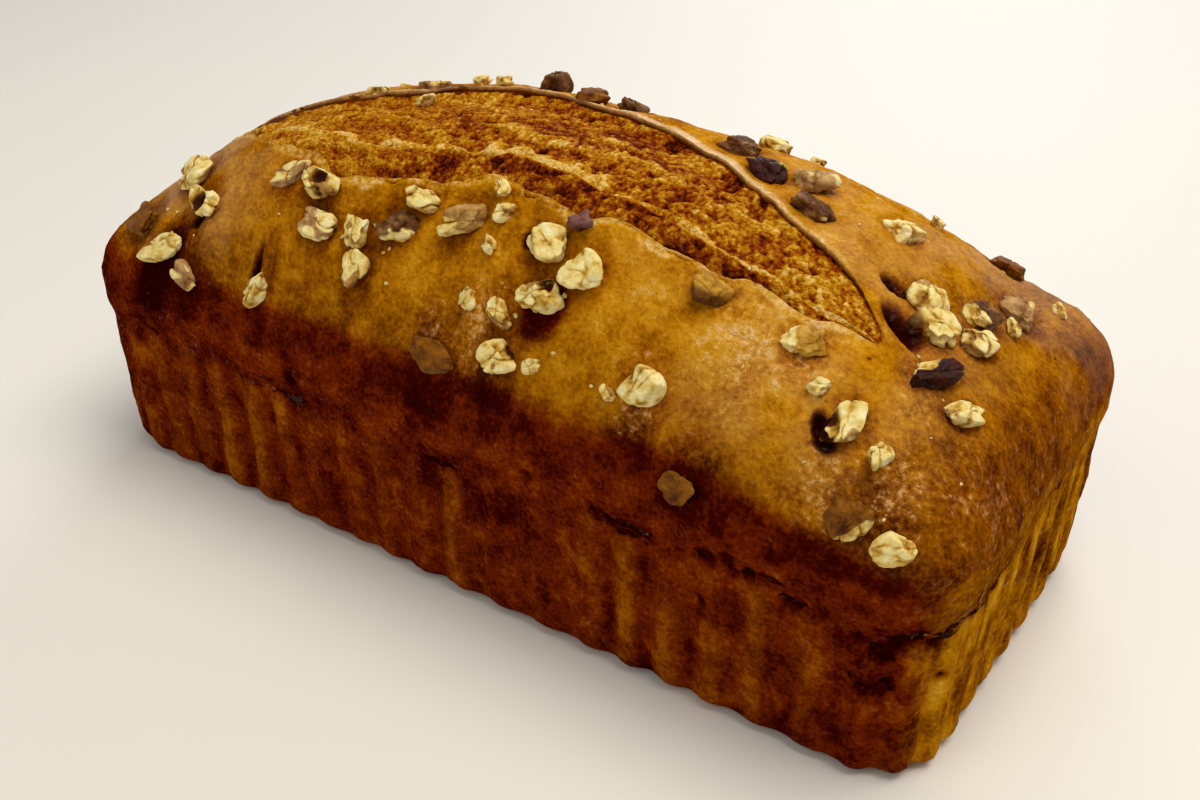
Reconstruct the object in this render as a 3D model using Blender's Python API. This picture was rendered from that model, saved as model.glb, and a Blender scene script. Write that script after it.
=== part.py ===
"""Banana bread: a loaf baked in a pleated paper liner, split along its top and strewn with chopped walnuts.

The loaf stands on its flat base at z = 0, with its length along X and its better seen long side towards -Y.
Every size is in metres. Run it with: blender --background --python part.py
"""

import bpy
import numpy as np
from mathutils import Matrix, Vector

MM = 0.001

# Driving dimensions of the loaf
LOAF_LENGTH = 215 * MM
LOAF_WIDTH = 99 * MM
RIM_HEIGHT = 44 * MM  # where the loaf is widest and its crust turns over
CORNER_RADIUS = 17 * MM  # of the loaf seen from above

# The top: a quick round shoulder, then a long crown
SHOULDER_INSET = 8 * MM
SHOULDER_RISE = 8.9 * MM
CROWN_RISE = 37.6 * MM
CROWN_POWER_ALONG = 3.1
CROWN_POWER_ACROSS = 2.8
CREST_SHIFT = -4 * MM

# The wall: pleats from the paper liner, which ends below the rim where the crust swells out
WALL_TAPER = 1.6 * MM
BASE_EDGE_RADIUS = 4 * MM
LINER_HEIGHT = 36 * MM
LINER_SLACK = 1.5 * MM  # how far the liner's edge rises and falls round the loaf
LINER_FADE = 12 * MM  # below that edge the pleats grow to their full depth
RIM_SWELL = 0.9 * MM
SWELL_SPAN = 5 * MM
PLEATS = 62
PLEAT_DEPTH = 0.65 * MM
PLEAT_WANDER = 1.1  # radians of a pleat's own turn
WALL_SLUMP = 0.5 * MM

# Slow swellings of the top, as (height, wavelength along, wavelength across, turn)
SWELLINGS = (
    (0.5 * MM, 130 * MM, 107 * MM, 0.7),
    (0.3 * MM, 75 * MM, 94 * MM, 2.1),
)

# The split in the crust: stations along X with the near and the far lip's place across, in millimetres
SPLIT_STATIONS = (
    (-80, -20, -20),
    (-74, -23, -13),
    (-66, -25, -7),
    (-52, -29, -3),
    (-38, -31, 0),
    (-27, -32, 4),
    (-16, -30, 8),
    (-2, -26, 7),
    (10, -27, 6),
    (24, -28, 2),
    (36, -28, -2),
    (48, -28, -8),
    (62, -28, -11),
    (72, -26, -16),
    (83, -23.5, -23.5),
)
SPLIT_DEPTH = 3.0 * MM
TERRACE_SHARE = 0.24  # of the split's width: a narrow torn step along the near lip
LIP_WIDTH = 1.2 * MM
LIP_CURL = 0.7 * MM
LIP_CURL_REACH = 2.5 * MM
LIP_WAVER = 0.6 * MM
LIP_WAVE = 26 * MM
FULL_WIDTH = 12 * MM  # from which the split is as deep as it gets
TERRACE_DROP = (1.0, 0.3)  # shares of the depth at the near lip and at the step's far edge
CRUMB_DROP = (0.85, 0.4)  # shares at the crumb's sides and along its middle
CRUMB_BUMP = 0.5 * MM
CRUMB_GRAIN = 6.6 * MM

# Walnut pieces on the crust: (along, across, length, width, height) in millimetres, turn in degrees, kind
PALE, TAN, BROWN, DARK = "pale", "tan", "brown", "dark"
NUTS = (
    # left end and the near slope
    (-78, -32, 13, 9.5, 3.4, 170, PALE),
    (-68.5, -38.7, 10, 6.5, 3.2, 160, PALE),
    (-89, -40, 12, 8, 2.6, 170, BROWN),
    (-78, -45, 14, 6, 3.0, 25, PALE),
    (-68.5, -47, 7.5, 5, 3.0, 150, TAN),
    (-46.5, -46.5, 9.5, 4.5, 3.4, 60, PALE),
    (-46.5, -33.5, 10, 4.5, 2.2, 30, TAN),
    (-37.5, -34, 9.5, 6.5, 3.6, 10, PALE),
    (-34.5, -38.9, 9.5, 6.5, 2.6, 0, TAN),
    (-24.5, -38, 7, 6, 3.2, 65, PALE),
    (-22, -41.9, 8, 6, 3.2, 90, PALE),
    (-15.5, -36, 9, 7, 3.2, 0, DARK),
    (-12, -31.6, 8.5, 5.2, 3.4, 5, PALE),
    (-1.5, -32.8, 10, 6, 3.4, 30, PALE),
    # middle of the near slope
    (18, -33, 9, 7.5, 3.4, 5, PALE),
    (27.3, -35, 9, 7.8, 3.4, 35, PALE),
    (21, -38.7, 9.8, 6.5, 3.4, 10, PALE),
    (13.5, -41.3, 7, 4.5, 3.0, 150, PALE),
    (15.5, -45, 7.8, 6.8, 3.4, 25, PALE),
    (0, -46.6, 12, 7, 2.4, 5, BROWN),
    (46, -43.3, 8.8, 7.4, 3.4, 0, PALE),
    (51.5, -30.6, 7.8, 6.2, 3.0, 20, BROWN),
    (69.5, -31.2, 8, 6.2, 2.2, 40, TAN),
    (56.5, -48.6, 7.5, 6, 2.0, 5, TAN),
    # right end
    (81, -38, 9.5, 6, 3.8, 50, PALE),
    (87.3, -46.2, 8.4, 7.4, 3.2, 15, BROWN),
    (95, -46.6, 7, 6, 3.2, 45, PALE),
    (88.3, -20.2, 12, 5.4, 3.2, 62, DARK),
    (94.6, -21.8, 8.5, 4.8, 3.2, 55, PALE),
    (80, -4.8, 9, 8, 3.4, 15, PALE),
    (84, -11, 9.5, 7, 4.0, 60, PALE),
    (89.4, -4, 7.5, 6.4, 3.4, 50, PALE),
    (87.5, 4, 8, 6, 3.2, 60, DARK),
    (91, 16.5, 9, 8, 3.0, 70, TAN),
    # beyond the split
    (69, 9, 8.5, 6.5, 3.0, 45, PALE),
    (52, 5.5, 9, 6.5, 4.0, 10, TAN),
    (44, 1.5, 9, 6, 3.2, 165, DARK),
    (56, -3, 9, 5.4, 3.2, 10, DARK),
    (34.5, 7.5, 9, 6, 3.0, 20, DARK),
    (36.5, 18, 7, 6, 3.2, 70, PALE),
    (6, 13.5, 7, 6, 3.2, 30, DARK),
    (-3, 11.5, 7.6, 6.2, 3.2, 50, BROWN),
    (-15.5, 14.5, 8, 7, 5.0, 0, DARK),
    (-39.5, 4, 9, 4.6, 2.6, 170, TAN),
    (-53, 1, 10, 4.4, 2.4, 165, PALE),
    # far slope, which the photograph hides
    (-66, 27, 9, 7, 3.2, 40, PALE),
    (-22, 36, 8.5, 7, 3.4, 120, PALE),
    (24, 31, 10, 7, 3.4, 15, TAN),
    (58, 38, 8, 6, 3.2, 80, PALE),
    (82, 33, 9, 7, 3.0, 130, BROWN),
)

# Chips of nut too small to be pieces of their own, fused to the crust: (along, across, size) in millimetres
CHIPS = (
    (7, -31, 5),
    (6.5, -35.5, 3.8),
    (4, -27.8, 4.4),
    (24, -29.6, 4.6),
    (23, -45, 4.2),
    (6, -41.5, 4.6),
    (39.5, -45, 3.4),
    (75, -36, 4.2),
    (88, -39.4, 5),
    (92, 9.5, 4.2),
    (-23, 8, 5),
    (-36, -3, 4.8),
    (-30, 9, 4.4),
    (-92, 12, 4.4),
    (-45, 34, 4.8),
    (5, 40, 4.4),
    (42, 27, 4.8),
    (70, 24, 4.2),
    (95, 30, 4),
)

# Fineness of the solids
AROUND = 372
CORNER_STEPS = 17
BASE_RINGS = (0.5, 0.9)  # shares of the way from the middle of the base to its edge
EDGE_RINGS = 4
WALL_RINGS = 10
SHOULDER_RINGS = 6
CROWN_RINGS = 44
LOAF_FACES = 8700
CRUST_GAP = 0.4 * MM
SEAT_DEPTH = 0.9 * MM
SEAT_REACH = 0.3  # of a nut's length and width together
SLOPE_STEP = 1.5 * MM  # over which the crust's slope is read
SHARP_EDGE = 35  # degrees, from which an edge of the loaf is drawn sharp

# Broken lumps of nut: how many planes break one, how near they pass, how crisp their edges are, and one dent
NUT_PLANES = 9
NUT_REACH = (0.72, 1.0)
NUT_GREATEST = 1.33  # radius where no plane cuts
NUT_CRISPNESS = 7
DENT_DEPTH = 0.28
DENT_SPREAD = 0.03
NUT_SINK = 0.28  # of its height, below the crust
CHIP_SHAPE = (1, 0.75, 0.62)
CHIP_TURN = 47  # degrees from each chip to the next
CHIP_SEED = 500

CRUST_COLOUR = (0.42, 0.17, 0.035, 1)
NUT_COLOURS = {
    PALE: (0.72, 0.55, 0.27, 1),
    TAN: (0.50, 0.30, 0.12, 1),
    BROWN: (0.22, 0.08, 0.025, 1),
    DARK: (0.05, 0.025, 0.02, 1),
}


def smooth_step(value):
    """0 below 0, 1 above 1, and an S curve between."""
    t = np.clip(value, 0, 1)
    return t * t * (3 - 2 * t)


def outline(share, half_length, half_width, radius):
    """Points and outward normals of a rounded rectangle, at shares of its perimeter from the middle of +X."""
    corner_x, corner_y = half_length - radius, half_width - radius
    points, angles = [(half_length, 0)], [0]
    for quarter, (side_x, side_y) in enumerate(((1, 1), (-1, 1), (-1, -1), (1, -1))):
        for turn in np.linspace(quarter, quarter + 1, CORNER_STEPS) * np.pi / 2:
            across = side_y * corner_y + radius * np.sin(turn)
            points.append((side_x * corner_x + radius * np.cos(turn), across))
            angles.append(turn)
    points.append((half_length, 0))
    angles.append(2 * np.pi)
    points = np.array(points)
    steps = np.hypot(*np.diff(points, axis=0).T)
    run = np.concatenate([[0], np.cumsum(steps)]) / steps.sum()
    angle = np.interp(share, run, angles)
    place = np.stack([np.interp(share, run, points[:, 0]), np.interp(share, run, points[:, 1])], axis=-1)
    return place, np.stack([np.cos(angle), np.sin(angle)], axis=-1)


def inset_of(x, y):
    """How far inside the rim a point of the plan lies."""
    out_x = np.abs(x) - (LOAF_LENGTH / 2 - CORNER_RADIUS)
    out_y = np.abs(y) - (LOAF_WIDTH / 2 - CORNER_RADIUS)
    corner = np.hypot(np.maximum(out_x, 0), np.maximum(out_y, 0))
    return CORNER_RADIUS - corner - np.minimum(np.maximum(out_x, out_y), 0)


def lumps(x, y):
    """Slow uneven swelling of the dough, from a few crossed waves."""
    total = np.zeros_like(x)
    for height, along, across, turn in SWELLINGS:
        total += height * np.sin(2 * np.pi * (x / along + y / across) + turn)
        total += height * np.sin(2 * np.pi * (x / along - y / across) + 2 * turn)
    return total


def smooth_top(x, y):
    """Height of the unbroken crust: the rim, a quarter-ellipse shoulder and a crown."""
    inset = np.maximum(inset_of(x, y), 0)
    rise = 1 - np.clip(inset / SHOULDER_INSET, 0, 1)
    shoulder = SHOULDER_RISE * np.sqrt(np.maximum(1 - rise**2, 0))
    across = np.abs((y - CREST_SHIFT * (1 - (2 * y / LOAF_WIDTH) ** 2)) * 2 / LOAF_WIDTH)
    along = np.abs(2 * x / LOAF_LENGTH)
    crown = np.maximum(1 - along**CROWN_POWER_ALONG, 0) * np.maximum(1 - across**CROWN_POWER_ACROSS, 0)
    return RIM_HEIGHT + shoulder + CROWN_RISE * crown + lumps(x, y) * smooth_step(inset / SHOULDER_INSET)


def split_lips(x):
    """Place across of the split's near and far lips, with a slight waver."""
    stations = np.array(SPLIT_STATIONS) * MM
    near = np.interp(x, stations[:, 0], stations[:, 1])
    far = np.interp(x, stations[:, 0], stations[:, 2])
    turn = 2 * np.pi * x / LIP_WAVE
    waver = LIP_WAVER * (np.sin(turn) + 0.6 * np.sin(1.8 * turn + 1))
    opened = smooth_step((far - near) / FULL_WIDTH)
    return near + waver * opened, far - waver * opened


def crumb_bumps(x, y):
    """Coarse crags of the torn crumb: crossed waves whose lines wander."""
    along, across = 2 * np.pi * x / CRUMB_GRAIN, 2 * np.pi * y / CRUMB_GRAIN
    return np.sin(along + 3 * np.sin(across / 2)) * np.sin(across + 2 * np.sin(along / 2.4))


def split_drop(x, y):
    """How far the torn crumb lies below the unbroken crust, less the curl of the lips beside it."""
    near, far = split_lips(x)
    width = np.maximum(far - near, 1e-6)
    opened = smooth_step(width / FULL_WIDTH)
    inside = smooth_step((y - near) / LIP_WIDTH) * smooth_step((far - y) / LIP_WIDTH)
    share = (y - near) / width
    beyond_step = smooth_step((share - TERRACE_SHARE) * width / LIP_WIDTH + 0.5)
    up_step = np.clip(share / TERRACE_SHARE, 0, 1)
    over_crumb = np.sin(np.pi * np.clip((share - TERRACE_SHARE) / (1 - TERRACE_SHARE), 0, 1))
    terrace = TERRACE_DROP[0] + (TERRACE_DROP[1] - TERRACE_DROP[0]) * up_step
    crumb = CRUMB_DROP[0] + (CRUMB_DROP[1] - CRUMB_DROP[0]) * over_crumb
    floor = SPLIT_DEPTH * opened * (terrace * (1 - beyond_step) + crumb * beyond_step)
    away = np.maximum(near - y, 0) + np.maximum(y - far, 0)
    curl = LIP_CURL * opened * np.exp(-away / LIP_CURL_REACH) * (1 - inside)
    return (floor - CRUMB_BUMP * crumb_bumps(x, y)) * inside - curl


def nut_seats(x, y):
    """Shallow seats that the nut pieces have pressed into the crust."""
    total = np.zeros_like(x)
    for along, across, length, width, *_ in NUTS:
        reach = SEAT_REACH * (length + width) * MM
        away = np.hypot(x - along * MM, y - across * MM) / reach
        total += SEAT_DEPTH * np.exp(-(away**4))
    return total


def top_height(x, y):
    """Height of the finished crust over a point of the plan."""
    inset = inset_of(x, y)
    return smooth_top(x, y) - split_drop(x, y) - nut_seats(x, y) * smooth_step(inset / SHOULDER_INSET)


def wall_offset(share, height):
    """How far the wall stands out from the rim's outline, for a share of the perimeter and a height."""
    rise = height / RIM_HEIGHT
    taper = -WALL_TAPER * (1 - rise)
    edge = 1 - np.clip(height / BASE_EDGE_RADIUS, 0, 1)
    rounding = -BASE_EDGE_RADIUS * (1 - np.sqrt(1 - edge**2))
    turn = 2 * np.pi * share
    liner = LINER_HEIGHT + LINER_SLACK * (np.sin(5 * turn + 1) + 0.5 * np.sin(13 * turn))
    swell = RIM_SWELL * (smooth_step((height - liner) / SWELL_SPAN) - 1)
    wander = PLEAT_WANDER * (np.sin(3 * turn + 1) + 0.6 * np.sin(8 * turn + 2))
    strength = 0.75 + 0.25 * np.sin(11 * turn + 0.5)
    fade = smooth_step((liner - height) / LINER_FADE)
    pleats = PLEAT_DEPTH * strength * np.cos(PLEATS * turn + wander) * fade
    slump = WALL_SLUMP * np.sin(4 * turn + 0.6) * np.sin(np.pi * rise)
    return taper + rounding + swell + pleats + slump


def profile_rings():
    """The rings of the loaf from the middle of its base to the middle of its crown, as (kind, value) pairs."""
    rings = [("base", share) for share in BASE_RINGS]
    edge = [BASE_EDGE_RADIUS * (1 - np.cos(turn)) for turn in np.linspace(0, np.pi / 2, EDGE_RINGS)]
    wall = list(np.linspace(BASE_EDGE_RADIUS, RIM_HEIGHT, WALL_RINGS + 1)[1:])
    rings += [("wall", height) for height in edge + wall]
    turns = np.linspace(0, np.pi / 2, SHOULDER_RINGS + 1)[1:]
    rings += [("shoulder", SHOULDER_INSET * (1 - np.cos(turn))) for turn in turns]
    rings += [("crown", share) for share in np.linspace(1, 0, CROWN_RINGS + 1)[1:-1]]
    return rings


def ring_points(kind, value, share):
    """World points of one ring, at shares of the way round."""
    half_length, half_width = LOAF_LENGTH / 2, LOAF_WIDTH / 2
    rim, normal = outline(share, half_length, half_width, CORNER_RADIUS)
    if kind in ("base", "wall"):
        height = value if kind == "wall" else 0
        plan = rim + normal * wall_offset(share, height)[:, None]
        plan = plan * (1 if kind == "wall" else value)
        return np.column_stack([plan, np.full(len(share), height)])
    inset = value if kind == "shoulder" else SHOULDER_INSET
    plan = rim - normal * inset
    if kind == "crown":
        plan = plan * value
    return np.column_stack([plan, top_height(plan[:, 0], plan[:, 1])])


def material(name, colour, roughness):
    """A Principled material of one colour."""
    made = bpy.data.materials.new(name)
    made.use_nodes = True
    shader = made.node_tree.nodes["Principled BSDF"]
    shader.inputs["Base Color"].default_value = colour
    shader.inputs["Roughness"].default_value = roughness
    shader.inputs["Metallic"].default_value = 0
    return made


def collection(name):
    """A new collection in the scene."""
    made = bpy.data.collections.new(name)
    bpy.context.scene.collection.children.link(made)
    return made


def move_to(obj, home):
    """Puts an object in one collection only."""
    for old in list(obj.users_collection):
        old.objects.unlink(obj)
    home.objects.link(obj)


def apply_modifiers(obj):
    """Turns an object's evaluated shape into its mesh."""
    graph = bpy.context.evaluated_depsgraph_get()
    mesh = bpy.data.meshes.new_from_object(obj.evaluated_get(graph))
    obj.modifiers.clear()
    obj.data = mesh


def points_of(mesh):
    """The mesh's vertices as an array of rows."""
    points = np.empty(len(mesh.vertices) * 3)
    mesh.vertices.foreach_get("co", points)
    return points.reshape(-1, 3)


def build_loaf(home):
    """A sphere whose rings are laid over the base, wall, shoulder and crown, then thinned where it is plain."""
    rings = profile_rings()
    bpy.ops.mesh.primitive_uv_sphere_add(segments=AROUND, ring_count=len(rings) + 1, radius=1)
    loaf = bpy.context.object
    loaf.name = loaf.data.name = "loaf"
    move_to(loaf, home)
    ball = points_of(loaf.data)
    latitude = np.arcsin(np.clip(ball[:, 2], -1, 1))
    level = np.rint((latitude / np.pi + 0.5) * (len(rings) + 1)).astype(int)
    share = np.arctan2(ball[:, 1], ball[:, 0]) / (2 * np.pi) % 1
    placed = np.zeros_like(ball)
    for number, (kind, value) in enumerate(rings, start=1):
        chosen = level == number
        placed[chosen] = ring_points(kind, value, share[chosen])
    centre = np.zeros(1)
    placed[level == len(rings) + 1] = (0, 0, top_height(centre, centre)[0])
    loaf.data.vertices.foreach_set("co", placed.ravel())
    loaf.data.update()
    thin = loaf.modifiers.new("thin", "DECIMATE")
    thin.ratio = LOAF_FACES / (2 * AROUND * len(rings))
    apply_modifiers(loaf)
    return loaf


def surface_frame(along, across):
    """Point on the crust and the outward normal there."""
    x = along + SLOPE_STEP * np.array([0, 1, -1, 0, 0])
    y = across + SLOPE_STEP * np.array([0, 0, 0, 1, -1])
    z = smooth_top(x, np.clip(y, -LOAF_WIDTH / 2, LOAF_WIDTH / 2))
    normal = Vector((z[2] - z[1], z[4] - z[3], 2 * SLOPE_STEP)).normalized()
    return Vector((along, across, top_height(x[:1], y[:1])[0])), normal


def chunk(directions, seed):
    """Radius of a broken lump in each direction: the rounded inside of a few random planes, with one dent."""
    draw = np.random.RandomState(seed)
    planes = draw.normal(size=(NUT_PLANES, 3))
    planes /= np.linalg.norm(planes, axis=1)[:, None]
    reach = draw.uniform(*NUT_REACH, NUT_PLANES)
    facing = np.maximum(directions @ planes.T, 0) / reach
    bound = (facing**NUT_CRISPNESS).sum(axis=1) + NUT_GREATEST**-NUT_CRISPNESS
    dent = planes[0] + planes[1]
    dent /= np.linalg.norm(dent)
    hollow = DENT_DEPTH * np.exp(-((1 - directions @ dent) ** 2) / DENT_SPREAD)
    return bound ** (-1 / NUT_CRISPNESS) * (1 - hollow)


def add_lump(name, seed, size, place, turn, fineness):
    """A broken lump of a stated size, lying on the crust at a place and sunk a little into it."""
    bpy.ops.mesh.primitive_ico_sphere_add(subdivisions=fineness, radius=1)
    lump = bpy.context.object
    lump.name = lump.data.name = name
    ball = points_of(lump.data)
    ball /= np.linalg.norm(ball, axis=1)[:, None]
    shape = ball * chunk(ball, seed)[:, None]
    low, high = shape.min(axis=0), shape.max(axis=0)
    shape = (shape - (low + high) / 2) / (high - low) * np.array(size)
    lump.data.vertices.foreach_set("co", shape.ravel())
    point, normal = surface_frame(*place)
    side = normal.cross(Vector((1, 0, 0))).normalized()
    upright = Matrix((side.cross(normal), side, normal)).transposed()
    turned = upright @ Matrix.Rotation(np.radians(turn), 3, "Z")
    lifted = point + normal * size[2] * (0.5 - NUT_SINK)
    lump.data.transform(Matrix.LocRotScale(lifted, turned, None))
    return lump


def fuse_chips(loaf):
    """Joins the smallest chips of nut to the crust."""
    chips = collection("chips")
    for number, (along, across, size) in enumerate(CHIPS, start=1):
        extent = [size * MM * share for share in CHIP_SHAPE]
        place = (along * MM, across * MM)
        chip = add_lump(f"chip_{number:02d}", CHIP_SEED + number, extent, place, CHIP_TURN * number, 1)
        move_to(chip, chips)
    union = loaf.modifiers.new("chips", "BOOLEAN")
    union.operation = "UNION"
    union.operand_type = "COLLECTION"
    union.collection = chips
    union.solver = "EXACT"
    apply_modifiers(loaf)
    for chip in list(chips.objects):
        bpy.data.objects.remove(chip)
    bpy.data.collections.remove(chips)


def build_nuts(loaf, home):
    """One object for each walnut piece, its underside pressed along the crust with a hair of room between."""
    finishes = {kind: material(f"walnut_{kind}", colour, 0.55) for kind, colour in NUT_COLOURS.items()}
    for number, (along, across, length, width, height, turn, kind) in enumerate(NUTS, start=1):
        extent = (length * MM, width * MM, height * MM / (1 - NUT_SINK))
        nut = add_lump(f"nut_{number:02d}", number, extent, (along * MM, across * MM), turn, 2)
        move_to(nut, home)
        nut.data.materials.append(finishes[kind])
        rest = nut.modifiers.new("rest on crust", "SHRINKWRAP")
        rest.target = loaf
        rest.wrap_method = "NEAREST_SURFACEPOINT"
        rest.wrap_mode = "OUTSIDE"
        rest.offset = CRUST_GAP
        apply_modifiers(nut)


def centre(home):
    """Moves every solid so that the box around them stands on z = 0, centred on the axis."""
    corners = [obj.matrix_world @ Vector(corner) for obj in home.objects for corner in obj.bound_box]
    low = [min(corner[axis] for corner in corners) for axis in range(3)]
    high = [max(corner[axis] for corner in corners) for axis in range(3)]
    shift = Matrix.Translation((-(low[0] + high[0]) / 2, -(low[1] + high[1]) / 2, -low[2]))
    for obj in home.objects:
        obj.data.transform(shift)


def main():
    """Clears the scene and builds the loaf and its nuts."""
    for obj in list(bpy.data.objects):
        bpy.data.objects.remove(obj)
    bread = collection("banana_bread")
    loaf = build_loaf(bread)
    fuse_chips(loaf)
    loaf.data.materials.clear()
    loaf.data.materials.append(material("crust", CRUST_COLOUR, 0.5))
    loaf.data.shade_smooth()
    loaf.data.set_sharp_from_angle(angle=np.radians(SHARP_EDGE))
    build_nuts(loaf, bread)
    bpy.context.view_layer.update()
    centre(bread)


main()
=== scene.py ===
"""Banana bread: crust, torn crumb and chopped walnuts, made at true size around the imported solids.

Shapes are worked out in millimetres, as whole numpy arrays, and turned to metres when they become meshes.
X runs along the loaf, Y across it and Z up. The form's sizes are those of the solids.
"""

from __future__ import annotations

import logging
from dataclasses import dataclass, field
from enum import Enum
from functools import partial

import bpy
import numpy as np
from bpy.types import Material, Node, NodeSocket, NodeTree, Object
from mathutils import Matrix, Vector

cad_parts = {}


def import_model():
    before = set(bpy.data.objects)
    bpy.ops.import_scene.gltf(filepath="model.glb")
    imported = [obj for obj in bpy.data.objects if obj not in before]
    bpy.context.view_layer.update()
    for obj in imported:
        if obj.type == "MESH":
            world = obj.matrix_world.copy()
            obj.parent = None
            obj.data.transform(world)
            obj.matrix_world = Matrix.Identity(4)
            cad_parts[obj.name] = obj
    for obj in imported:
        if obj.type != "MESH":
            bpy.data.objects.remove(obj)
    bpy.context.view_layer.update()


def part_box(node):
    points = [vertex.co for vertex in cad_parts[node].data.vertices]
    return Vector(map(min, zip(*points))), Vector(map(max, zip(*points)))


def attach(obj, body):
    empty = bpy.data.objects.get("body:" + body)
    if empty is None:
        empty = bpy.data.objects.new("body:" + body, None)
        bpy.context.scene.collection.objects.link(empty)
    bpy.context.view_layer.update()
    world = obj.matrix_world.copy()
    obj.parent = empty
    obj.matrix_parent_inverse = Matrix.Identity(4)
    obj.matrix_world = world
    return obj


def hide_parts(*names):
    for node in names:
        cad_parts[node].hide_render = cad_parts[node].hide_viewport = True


Array = np.ndarray  # numbers or points, one for each place

MM = 0.001  # metres
MERGE_DECIMALS = 5  # of a millimetre: points that agree so far are one
ROOT = "root"
LOAF_NODE = "loaf"
DUST_COUNT = 70
DUST_SEED = 7

log = logging.getLogger("banana_bread")


def smooth_step(value: Array) -> Array:
    """0 below 0, 1 above 1 and an S curve between."""
    t = np.clip(value, 0, 1)
    return t * t * (3 - 2 * t)


def rise(value: Array, start: Array | float, span: float) -> Array:
    """An S curve from 0 at the start to 1 a span beyond it."""
    return smooth_step((value - start) / span)


def fall(value: Array, end: Array | float, span: float) -> Array:
    """An S curve from 1 a span before the end to 0 at the end."""
    return smooth_step((end - value) / span)


def bell(value: Array) -> Array:
    """1 at 0 and nearly 0 from 2 on: e to the power of minus the value's square."""
    return np.exp(-(value**2))


def hashed(cells: Array, seed: int) -> Array:
    """Even random numbers from 0 to 1, the same each run.

    Args:
        cells: whole numbers along the last axis.
        seed: picks one of many such tables.

    Returns:
        One number for each cell.
    """
    primes = np.array([73856093, 19349663, 83492791])[: cells.shape[-1]]
    mixed = (cells @ primes + seed * 668265263) & 0xFFFFFFFF
    for _ in range(2):
        mixed = ((mixed ^ (mixed >> 16)) * 0x45D9F3B) & 0xFFFFFFFF
    return (mixed ^ (mixed >> 16)) / 0xFFFFFFFF


def noise(points: Array, size: float, seed: int = 0) -> Array:
    """Smooth noise: random values at the corners of cubes, blended inside each by a quintic curve.

    Args:
        points: points in two or three directions, which lie along the last axis.
        size: side of a cube, in the points' unit.
        seed: picks the random values.

    Returns:
        A value from -1 to 1 for each point.
    """
    scaled = points / size
    corner = np.floor(scaled).astype(np.int64)
    part = scaled - corner
    part = part**3 * (part * (part * 6 - 15) + 10)
    total = np.zeros(points.shape[:-1])
    for step in np.ndindex(*(2,) * points.shape[-1]):
        share = np.prod(np.where(step, part, 1 - part), axis=-1)
        total += share * hashed(corner + np.array(step), seed)
    return 2 * total - 1


def layered(points: Array, size: float, layers: int, seed: int = 0) -> Array:
    """Noise of several sizes, each half as large and half as strong as the one before.

    Args:
        points: points along the last axis.
        size: size of the largest features.
        layers: how many sizes.
        seed: picks the random values.

    Returns:
        A value of about -1 to 1 for each point.
    """
    parts = [noise(points, size / 2**n, seed + 17 * n) / 2**n for n in range(layers)]
    return sum(parts) / sum(0.5**n for n in range(layers))


def cell_walls(points: Array, size: float, seed: int = 0) -> tuple[Array, Array]:
    """Distance to the nearest of one random point in each cube, and how much nearer it is than the next.

    Args:
        points: points along the last axis.
        size: side of a cube.
        seed: picks the random points.

    Returns:
        The distance in sizes, and the gap to the second nearest, which is 0 on the walls between cells.
    """
    scaled = points / size
    corner = np.floor(scaled).astype(np.int64)
    nearest = np.full(points.shape[:-1], 9.0)
    second = nearest.copy()
    axes = range(points.shape[-1])
    for step in np.ndindex(*(3 for _ in axes)):
        cell = corner + np.array(step) - 1
        spot = cell + np.stack([hashed(cell, seed + 31 * (axis + 1)) for axis in axes], axis=-1)
        away = np.linalg.norm(scaled - spot, axis=-1)
        second = np.minimum(second, np.maximum(nearest, away))
        nearest = np.minimum(nearest, away)
    return nearest, second - nearest


def linear(colour: str) -> tuple[float, float, float, float]:
    """A linear RGBA colour from an sRGB hex value such as "#C08040".

    Args:
        colour: the hex value.

    Returns:
        Red, green, blue and alpha, linear.
    """
    parts = [int(colour[at : at + 2], 16) / 255 for at in (1, 3, 5)]
    red, green, blue = (p / 12.92 if p <= 0.04045 else ((p + 0.055) / 1.055) ** 2.4 for p in parts)
    return red, green, blue, 1.0


MAIN_OUTPUT = {"TexCoord": "Object", "Attribute": "Fac", "Mix": 2}  # where it isn't a node's first
MIX_A, MIX_B = 6, 7  # a colour Mix node's inputs


def fill(tree: NodeTree, node: Node, inputs: dict | tuple) -> None:
    """Links or sets a node's inputs.

    Args:
        tree: the material's node tree.
        node: the node.
        inputs: a value or another node's socket for each input, in order, or by name or number.
    """
    for key, value in inputs.items() if isinstance(inputs, dict) else enumerate(inputs):
        if isinstance(value, NodeSocket):
            tree.links.new(value, node.inputs[key])
        else:
            node.inputs[key].default_value = value


def add_node(
    tree: NodeTree, kind: str, inputs: dict | tuple = (), stops: tuple = (), **settings: str | bool
) -> NodeSocket:
    """Adds one shader node with its settings and links.

    Args:
        tree: the material's node tree.
        kind: Blender's name for the node's type, without ShaderNode.
        inputs: a value or another node's socket for each input, in order, or by name or number.
        stops: places and hex colours of a colour ramp.
        settings: the node's own settings.

    Returns:
        The node's main output.
    """
    made = tree.nodes.new(f"ShaderNode{kind}")
    for name, value in settings.items():
        setattr(made, name, value)
    fill(tree, made, inputs)
    for number, (place, colour) in enumerate(stops):
        elements = made.color_ramp.elements
        element = elements[number] if number < len(elements) else elements.new(place)
        element.position = place
        element.color = linear(colour)
    return made.outputs[MAIN_OUTPUT.get(kind, 0)]


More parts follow.
